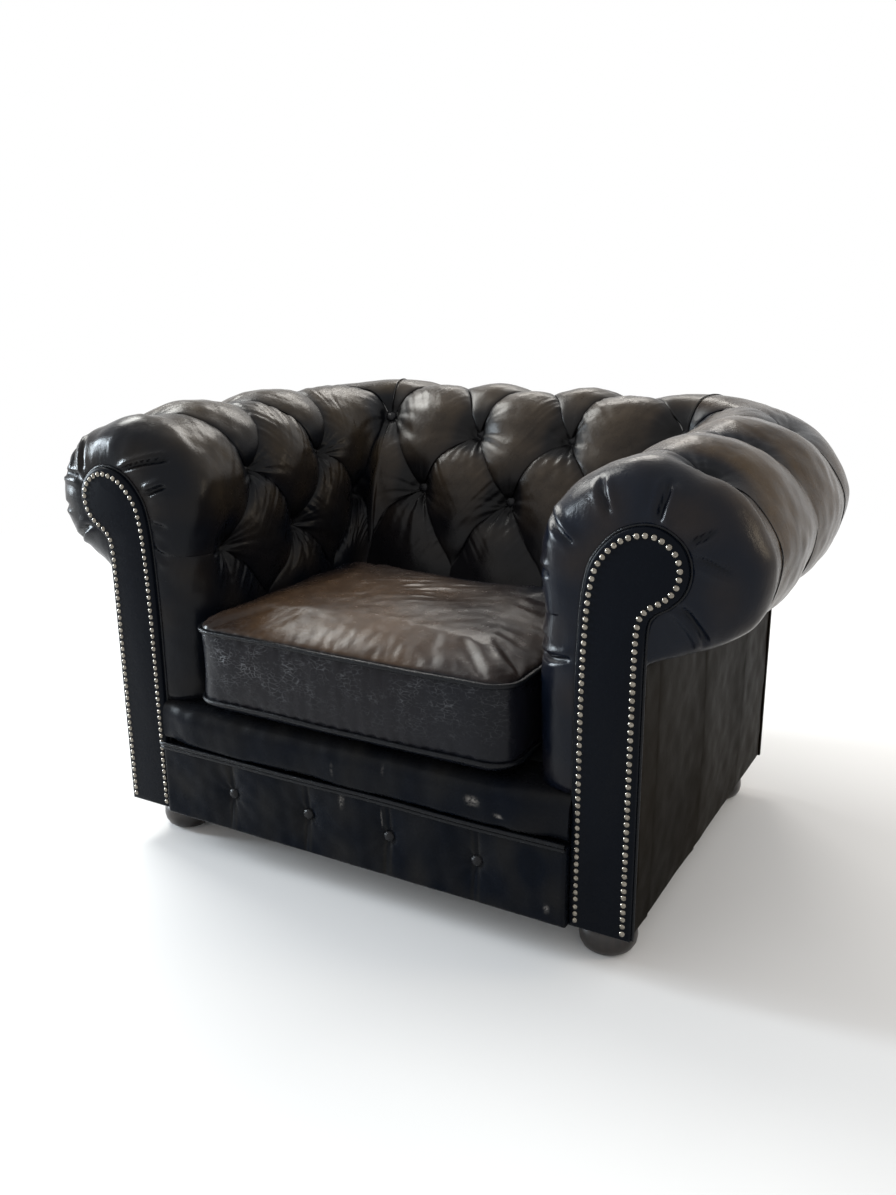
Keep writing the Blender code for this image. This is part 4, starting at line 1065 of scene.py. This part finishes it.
def outsidePanels():
    low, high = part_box("outside_arm_right")
    width, height, thickness = high.y - low.y, high.z - low.z, high.x - low.x

    def surface(u, v):
        y = low.y + u
        stand = outside["armBulge"] * np.sin(np.pi * u / width) ** 0.6 * np.sin(np.pi * v / height) ** 0.6
        for at in outside["armPleats"]:
            stand = stand + outside["pleatDepth"] * pleatProfile(y - at - 0.003 * np.sin(9 * v))
        place = np.stack([y, v, 0 * v], 1)
        return stand + 0.0012 * ripples(place, 0.18, 31) + 0.0004 * ripples(place, 0.05, 32) - 0.003

    columns = withLines(edged(width, 150), [at - low.y for at in outside["armPleats"]], 0.008, 12)
    for label, side in bothSides.items():
        piece, front = boardPiece(
            "outsideArm" + label, "outside_arm_" + label.lower(), "sideLeather", "worn_leather",
            (side * high.x, low.y, low.z), ((0, 1, 0), (0, 0, 1), (side, 0, 0)), (width, height, thickness),
            surface, columns, edged(height, 90))
        addValues(piece, "wear", np.clip(0.45 + 0.2 * ripples(front, 0.3, 33), 0, 1), 0.3)
        # painted shade along the pleats, through the fold mask
        dark = np.zeros(len(front))
        for at in outside["armPleats"]:
            away = front[:, 1] - at - 0.003 * np.sin(9 * (front[:, 2] - low.z)) - 0.001
            dark += np.exp(-((away / 0.0022) ** 2))
        addValues(piece, "fold", np.clip(dark, 0, 1))
    low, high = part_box("outside_back")
    width, height, thickness = high.x - low.x, high.z - low.z, high.y - low.y

    def backSurface(u, v):
        stand = outside["backBulge"] * np.sin(np.pi * u / width) ** 0.5 * np.sin(np.pi * v / height) ** 0.6 - 0.004
        place = np.stack([u, v, 0 * v], 1)
        for at in outside["backPleats"]:
            stand = stand + outside["pleatDepth"] * pleatProfile(u - at - 0.003 * np.sin(8 * v))
        return stand + 0.0014 * ripples(place, 0.2, 41) + 0.0004 * ripples(place, 0.05, 42)

    columns = withLines(edged(width, 190), outside["backPleats"], 0.008, 12)
    piece, front = boardPiece(
        "outsideBack", "outside_back", "sideLeather", "worn_leather", (high.x, high.y, low.z),
        ((-1, 0, 0), (0, 0, 1), (0, 1, 0)), (width, height, thickness), backSurface, columns, edged(height, 90))
    addValues(piece, "wear", np.clip(0.45 + 0.2 * ripples(front, 0.3, 43), 0, 1), 0.3)


outsidePanels()
print("outside panels made")


platform = {"sag": 0.004, "rounding": 0.012, "tack": 0.0006, "fill": 0.9}


def seatPlatform():
    # the cloth-covered foam slab that the cushion lies on, a little hollow in the middle
    low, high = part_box("seat_platform")
    width, height, thickness = high.x - low.x, high.y - low.y, high.z - low.z

    def surface(u, v):
        place = np.stack([u, v, 0 * v], 1)
        hollow = np.sin(np.pi * u / width) ** 0.8 * np.sin(np.pi * v / height) ** 0.8
        return -platform["sag"] * hollow - 0.0009 + platform["tack"] * ripples(place, 0.06, 45)

    r = platform["rounding"]
    piece, _ = boardPiece(
        "seatPlatform", "seat_platform", "platformCloth", "platform_cloth", (low.x, low.y, high.z),
        ((1, 0, 0), (0, 1, 0), (0, 0, 1)), (width, height, thickness), surface,
        edged(width, 90, r), edged(height, 70, r), r)


seatPlatform()


def scuffs(points, marks):
    # rubbed spots at (x, z, half width, half height)
    most = np.zeros(len(points))
    for x, z, wide, high in marks:
        away = ((points[:, 0] - x) / wide) ** 2 + ((points[:, 2] - z) / high) ** 2
        most = np.maximum(most, np.exp(-(away**1.5)))
    return most


border = {
    "pitch": 0.1474, "count": 4, "fold": 0.0055, "dimple": 0.0035,
    "buttonRadius": 0.0097, "buttonSides": 24, "buttonShare": 0.49,
    "overhang": 0.011, "piping": 0.0033, "fill": 0.7,
    "scuffs": (
        (-0.005, 0.172, 0.0035, 0.012), (-0.081, 0.181, 0.009, 0.003), (0.064, 0.155, 0.0012, 0.012),
        (0.334, 0.088, 0.0028, 0.006), (0.10, 0.183, 0.030, 0.002),
    ),
}


def frontBorder():
    low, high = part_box("front_border")
    frontY = chair["frontY"] - border["overhang"]
    buttonZ = baseZ + border["buttonShare"] * (high.z - baseZ)
    top = high.z - 0.0080
    width, height = high.x - low.x, top - low.z
    folds = border["pitch"] * (np.arange(border["count"]) - (border["count"] - 1) / 2)

    def surface(u, v):
        x = low.x + u
        nearest = folds[np.argmin(np.abs(x[:, None] - folds), 1)]
        line = nearest + 0.004 * np.sin((v / height - border["buttonShare"]) * 3.0)
        off = np.abs(x - line) / border["pitch"]
        upright = 0.35 + 0.65 * np.sin(np.pi * np.clip(v / height, 0, 1)) ** 0.5
        stand = -border["fold"] * (1 - np.sqrt(np.sin(np.pi * np.clip(off, 0, 0.5)))) * upright
        away = np.hypot(x - nearest, low.z + v - buttonZ)
        stand -= border["dimple"] * np.exp(-((away / 0.030) ** 2))
        stand += (-border["fold"] - border["dimple"] - stand) * (1 - smoothStep(0.006, 0.018, away))
        turn = np.arctan2(x - nearest, low.z + v - buttonZ)
        stand += 0.0009 * np.cos(9 * turn + 2) * np.exp(-away / 0.03) * (1 - np.exp(-((away / 0.012) ** 2)))
        place = np.stack([x, v, 0 * v], 1)
        return stand + 0.0012 * ripples(place, 0.12, 51) + 0.0005 * ripples(place, 0.035, 52)

    columns = withLines(edged(width, 190), folds - low.x, 0.010, 15)
    piece, front = boardPiece(
        "frontBorder", "front_border", "shadedFrontLeather", "worn_leather", (low.x, frontY, low.z),
        ((1, 0, 0), (0, 0, 1), (0, -1, 0)), (width, height, high.y - frontY), surface, columns, edged(height, 60))
    rubbed = np.exp(-((np.min(np.abs(front[:, :1] - folds), 1) - 0.005) / 0.003) ** 2)
    addValues(piece, "wear", np.clip(0.25 + 0.3 * ripples(front, 0.08, 53) + 0.5 * rubbed, 0, 1))
    addValues(piece, "scuff", scuffs(front, border["scuffs"]))
    parts = []
    xs = np.linspace(low.x + 0.001, high.x - 0.001, 80)
    for z, y in ((high.z - 0.0094, frontY - 0.0016), (high.z - 0.0030, frontY - 0.0030)):
        path = np.stack([xs, y + 0.0006 * np.sin(23 * xs), z + 0.0006 * np.sin(17 * xs + 1)], 1)
        parts.append(tube(path, border["piping"], 10))
    addPiece("borderPiping", *joined(parts), "pipingLeather", "worn_leather")
    y = frontY + border["fold"] + border["dimple"] + buttons["sink"]
    radius, sides = border["buttonRadius"], border["buttonSides"]
    domes = [dome(radius, sides, (fold, y, buttonZ), (0, -1, 0)) for fold in folds]
    addPiece("borderButtons", *joined(domes), "buttonLeather", "worn_leather", *nodesOf("border_button"))


frontBorder()


lip = {
    "depth": 0.080, "endSetBack": 0.012, "fill": 0.8,
    "scuffs": (
        (0.221, 0.229, 0.009, 0.005), (0.262, 0.214, 0.006, 0.002),
        (-0.017, 0.222, 0.0012, 0.010), (0.071, 0.240, 0.0012, 0.008),
    ),
}


def frontLip():
    low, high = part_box("front_lip")
    backY = chair["frontY"] + lip["depth"]
    deep = chair["frontY"] + chair["facingThickness"] - low.y
    middle, half = (low.z + high.z) / 2, (high.z - low.z) / 2
    turns = np.linspace(math.pi / 2, -math.pi / 2, 36)
    xs = edged(high.x - low.x, 200, 0.01) + low.x
    lines = []
    for x in xs:
        # the ends run back to meet the arm fronts
        setBack = lip["endSetBack"] * smoothStep(0.285, 0.360, abs(x))
        curve = np.abs(np.cos(turns)) ** np.where(turns > 0, 0.8, 0.3)
        y = low.y + setBack + (deep - setBack) * (1 - curve)
        z = middle + half * np.where(turns > 0, np.abs(np.sin(turns)) ** 0.8, -(np.abs(np.sin(turns)) ** 0.45))
        line = np.stack([np.full(len(turns), x), y, z], 1)
        lines.append(np.vstack([[x, backY, high.z], line, [x, backY, low.z]]))
    grid = np.stack(lines)
    flat = grid.reshape(-1, 3)
    normals = gridNormals(flat, grid.shape[:2])
    inFront = normals[np.argmin(flat[:, 1])][1]
    normals *= -np.sign(inFront)
    ease = smoothStep(backY, backY - 0.02, flat[:, 1])
    lumps = 0.0012 * ripples(flat, 0.13, 61) + 0.0005 * ripples(flat, 0.04, 62)
    flat = flat + normals * (lumps * ease)[:, None]
    across = grid.shape[1]
    faces = gridFaces(len(xs), across, closed=True).tolist()
    faces += [list(range(across)), list(range((len(xs) - 1) * across, len(xs) * across))]
    piece = addPiece("frontLip", flat, faces, "shadedFrontLeather", "worn_leather", "front_lip", sharp=60)
    wear = 0.2 + 0.4 * smoothStep(0.2, 0.9, normals[:, 2]) + 0.3 * ripples(flat, 0.1, 63)
    addValues(piece, "wear", np.clip(wear, 0, 1))
    addValues(piece, "scuff", scuffs(flat, lip["scuffs"]))


frontLip()
print("front lip and border made")


cushion = {
    "half": 0.280, "frontY": -0.430, "backY": 0.010, "corner": 0.042, "lowPiping": 0.286, "highPiping": 0.401,
    "crown": 0.040, "piping": 0.0040, "pipingInset": 0.0028, "pressure": 4.0, "frames": 20, "voxel": 0.0065,
    "mostMove": 0.0065, "fill": 0.8,
}


def roundedLoop(half, yFront, yBack, radius):
    steps, straight = 14, 22
    arcs = []
    low, high = yFront + radius, yBack - radius
    for k, (side, y) in enumerate(((1, low), (1, high), (-1, high), (-1, low))):
        x = side * (half - radius)
        turn = np.radians(90 * (k - 1) + 90 * np.arange(steps + 1) / steps)
        arcs.append(np.stack([x + radius * np.cos(turn), y + radius * np.sin(turn)], 1))
    points = []
    for k, arc in enumerate(arcs):
        ahead = arcs[(k + 1) % 4][0]
        share = np.linspace(0, 1, straight)[1:-1, None]
        points += [arc, arc[-1] + (ahead - arc[-1]) * share]
    return np.vstack(points)


def cushionLoop(inset, corner):
    return roundedLoop(cushion["half"] - inset, cushion["frontY"] + inset, cushion["backY"] - inset, corner)


def cushionStart():
    # crowned rings from the bottom over both rows of piping: how far in, and the height
    low, high = cushion["lowPiping"], cushion["highPiping"]
    bottom = chair["deck"] + chair["gap"]
    crown = cushion["crown"]
    loops = [
        (0.120, bottom), (0.040, bottom + 0.001), (0.014, bottom + 0.5 * (low - bottom)), (0.005, low - 0.006),
        (0.0035, low), (0.004, low + 0.006), (0.005, low + 0.3 * (high - low)), (0.005, low + 0.5 * (high - low)),
        (0.005, low + 0.7 * (high - low)), (0.004, high - 0.006), (0.0035, high),
    ]
    loops += [(inset, high + share * crown) for inset, share in (
        (0.0055, 0.15), (0.011, 0.30), (0.021, 0.46), (0.038, 0.60),
        (0.065, 0.69), (0.105, 0.76), (0.160, 0.80), (0.205, 0.82),
    )]
    rings = []
    for inset, z in loops:
        plan = cushionLoop(inset, max(cushion["corner"] - 0.6 * inset, 0.012))
        rings.append(np.column_stack([plan, np.full(len(plan), z)]))
    across = len(rings[0])
    faces = gridFaces(len(rings), across, closed=True).tolist()
    faces += [list(range(across)), list(range((len(rings) - 1) * across, len(rings) * across))]
    return np.vstack(rings), faces


def applied(piece):
    # the piece's mesh with its modifiers worked in
    graph = bpy.context.evaluated_depsgraph_get()
    mesh = bpy.data.meshes.new_from_object(piece.evaluated_get(graph))
    piece.modifiers.clear()
    piece.data = mesh


def read(mesh, kind="co"):
    values = np.empty(len(mesh.vertices) * 3, np.float32)
    mesh.vertices.foreach_get(kind, values)
    return values.reshape(-1, 3).astype(float)


def fromLoop(points, loop):
    # how far each point is from the loop in plan
    parts = [points[k : k + 20000, None, :2] for k in range(0, len(points), 20000)]
    return np.concatenate([np.min(np.linalg.norm(part - loop[None], axis=2), 1) for part in parts])


def fromPiping(points, toRim):
    # and from the nearer row of piping
    return np.minimum(*[np.hypot(toRim, points[:, 2] - cushion[row]) for row in ("highPiping", "lowPiping")])


def swell(piece, held):
    # cloth with air pressure inside, held at the piping and the bottom
    group = piece.vertex_groups.new(name="held")
    group.add(held, 1.0, "REPLACE")
    cloth = piece.modifiers.new("swell", "CLOTH")
    settings = cloth.settings
    settings.quality = 6
    settings.mass = 0.4
    settings.tension_stiffness = settings.compression_stiffness = 12
    settings.bending_stiffness = 0.8
    settings.shrink_min = -0.001
    settings.use_pressure = True
    settings.uniform_pressure_force = cushion["pressure"]
    settings.vertex_group_mass = "held"
    settings.effector_weights.gravity = 0
    cloth.point_cache.frame_start, cloth.point_cache.frame_end = 1, cushion["frames"]
    for number in range(1, cushion["frames"] + 1):
        bpy.context.scene.frame_set(number)
    applied(piece)
    bpy.context.scene.frame_set(1)


def seatCushion():
    piece = addPiece("seatCushion", *cushionStart(), "seatLeather", "cushion_leather", "seat_cushion")
    remesh = piece.modifiers.new("even", "REMESH")
    remesh.mode = "VOXEL"
    remesh.voxel_size = cushion["voxel"]
    applied(piece)
    start = read(piece.data)
    loop = cushionLoop(0, cushion["corner"])
    seam = fromPiping(start, fromLoop(start, loop))
    swell(piece, np.where((seam < 0.008) | (start[:, 2] < chair["deck"] + 0.006))[0].tolist())
    move = read(piece.data) - start
    move *= np.minimum(1, cushion["mostMove"] / np.maximum(np.linalg.norm(move, axis=1), 1e-9))[:, None]
    piece.data.vertices.foreach_set("co", (start + move).astype(np.float32).ravel())
    finer = piece.modifiers.new("finer", "SUBSURF")
    finer.levels = finer.render_levels = 1
    applied(piece)
    co, normals = read(piece.data), read(piece.data, "normal")
    top = smoothStep(0.3, 0.8, normals[:, 2])
    side = 1 - smoothStep(0.2, 0.6, np.abs(normals[:, 2]))
    toRim = fromLoop(co, loop)
    # small pulls along the seams, and the creases that sitting leaves near the back
    waves = np.cos(2 * np.pi * (co[:, 0] + 0.4 * co[:, 1]) / 0.021 + 2 * ripples(co, 0.09, 83))
    pulls = np.exp(-toRim / 0.03) * top * waves * 0.0003
    height = 0.0010 * ripples(co, 0.16, 81) + 0.0002 * ripples(co, 0.035, 82) + pulls
    along = 0.887 * co[:, 0] + 0.461 * co[:, 1] + 0.085
    over = 0.887 * co[:, 1] - 0.461 * co[:, 0] + 0.155
    worn = np.exp(-((along / 0.075) ** 2) - (over / 0.055) ** 2)
    rolls = np.cos(2 * np.pi * over / 0.024 + 1.6 * ripples(np.stack([along, over, 0 * over], 1), 0.12, 84))
    height += 0.0017 * top * worn * np.maximum(rolls, -0.2) * smoothStep(-0.3, 0.5, ripples(co, 0.07, 85))
    nearSeam = fromPiping(co, toRim)
    height -= 0.002 * np.exp(-((nearSeam / 0.009) ** 2))
    height *= 1 - smoothStep(-0.5, -0.9, normals[:, 2])  # flat where it lies
    co = co + normals * height[:, None]
    piece.data.vertices.foreach_set("co", co.astype(np.float32).ravel())
    piece.data.update()
    # worn brown on the top in the middle; darker towards the back and towards both arms is painted shade, and it is a
    # little darker at the very front
    wear = top * (0.95 - 0.80 * smoothStep(-0.22, -0.02, co[:, 1])) + 0.06 * side
    wear *= 0.3 + 0.7 * smoothStep(-0.27, -0.14, co[:, 0])
    wear *= 0.30 + 0.70 * smoothStep(0.24, 0.02, co[:, 0] + 0.1 * smoothStep(-0.40, -0.20, co[:, 1]))
    wear *= 1 - 0.25 * smoothStep(-0.37, -0.43, co[:, 1])
    addValues(piece, "wear", np.clip(wear + 0.10 * ripples(co, 0.11, 86) * top, 0, 1))
    # painted shade along both rows of piping, through the fold mask
    addValues(piece, "fold", np.exp(-((nearSeam / 0.007) ** 2)))
    frontBand = side * smoothStep(cushion["frontY"] + 0.03, cushion["frontY"] + 0.01, co[:, 1])
    upper = smoothStep(0.30, 0.37, co[:, 2])
    crackle = frontBand * (0.25 + 0.75 * upper) * (0.45 + 0.55 * smoothStep(0.05, -0.2, co[:, 0]))
    addValues(piece, "crackle", crackle + 0.15 * top * smoothStep(-0.34, -0.40, co[:, 1]))
    piece.data.shade_smooth()
    inner = cushionLoop(cushion["pipingInset"], cushion["corner"])
    waves = 0.0010 * ripples(np.column_stack([loop, np.zeros(len(loop))]), 0.2, 87)
    paths = [np.column_stack([inner, cushion[row] + waves]) for row in ("lowPiping", "highPiping")]
    tubes = joined([tube(path, cushion["piping"], 10, closed=True) for path in paths])
    addPiece("cushionPiping", *tubes, "pipingLeather", "cushion_leather")
    print("seat cushion made, points:", len(piece.data.vertices))


seatCushion()


# the profile is (share of the height, share of the radius)
foot = {
    "radius": 0.0425, "x": 0.3940, "frontY": -0.3350, "rearY": 0.2107,
    "profile": (
        (0.0, 0.66), (0.02, 0.72), (0.10, 0.87), (0.22, 0.965), (0.36, 1.0), (0.50, 0.98), (0.62, 0.92),
        (0.72, 0.82), (0.775, 0.745), (0.80, 0.715), (0.835, 0.72), (0.85, 0.775), (0.88, 0.80), (0.93, 0.805),
        (0.96, 0.80), (1.0, 0.80),
    ),
}


def feet():
    height, r = chair["footHeight"], foot["radius"]
    profile = [(radius * r, share * height) for share, radius in foot["profile"]]
    for label, side in bothSides.items():
        for name, y in (("front", foot["frontY"]), ("rear", foot["rearY"])):
            shape = turned(profile, 56, (side * foot["x"], y, 0))
            node = f"{name}_foot_{label.lower()}"
            addPiece(f"{name}Foot{label}", *shape, "footWood", "foot_wood", node, sharp=35)


feet()

# the nodes that stay get their wood or cloth
for name, node in nodes.items():
    kept = "webbing" if name.startswith("seat_web") else "dustCloth" if name == "dust_cover" else "beech"
    if not node.hide_render:
        for slot in node.material_slots:
            slot.material = finishes[kept]
print("feet, frame and underside done")
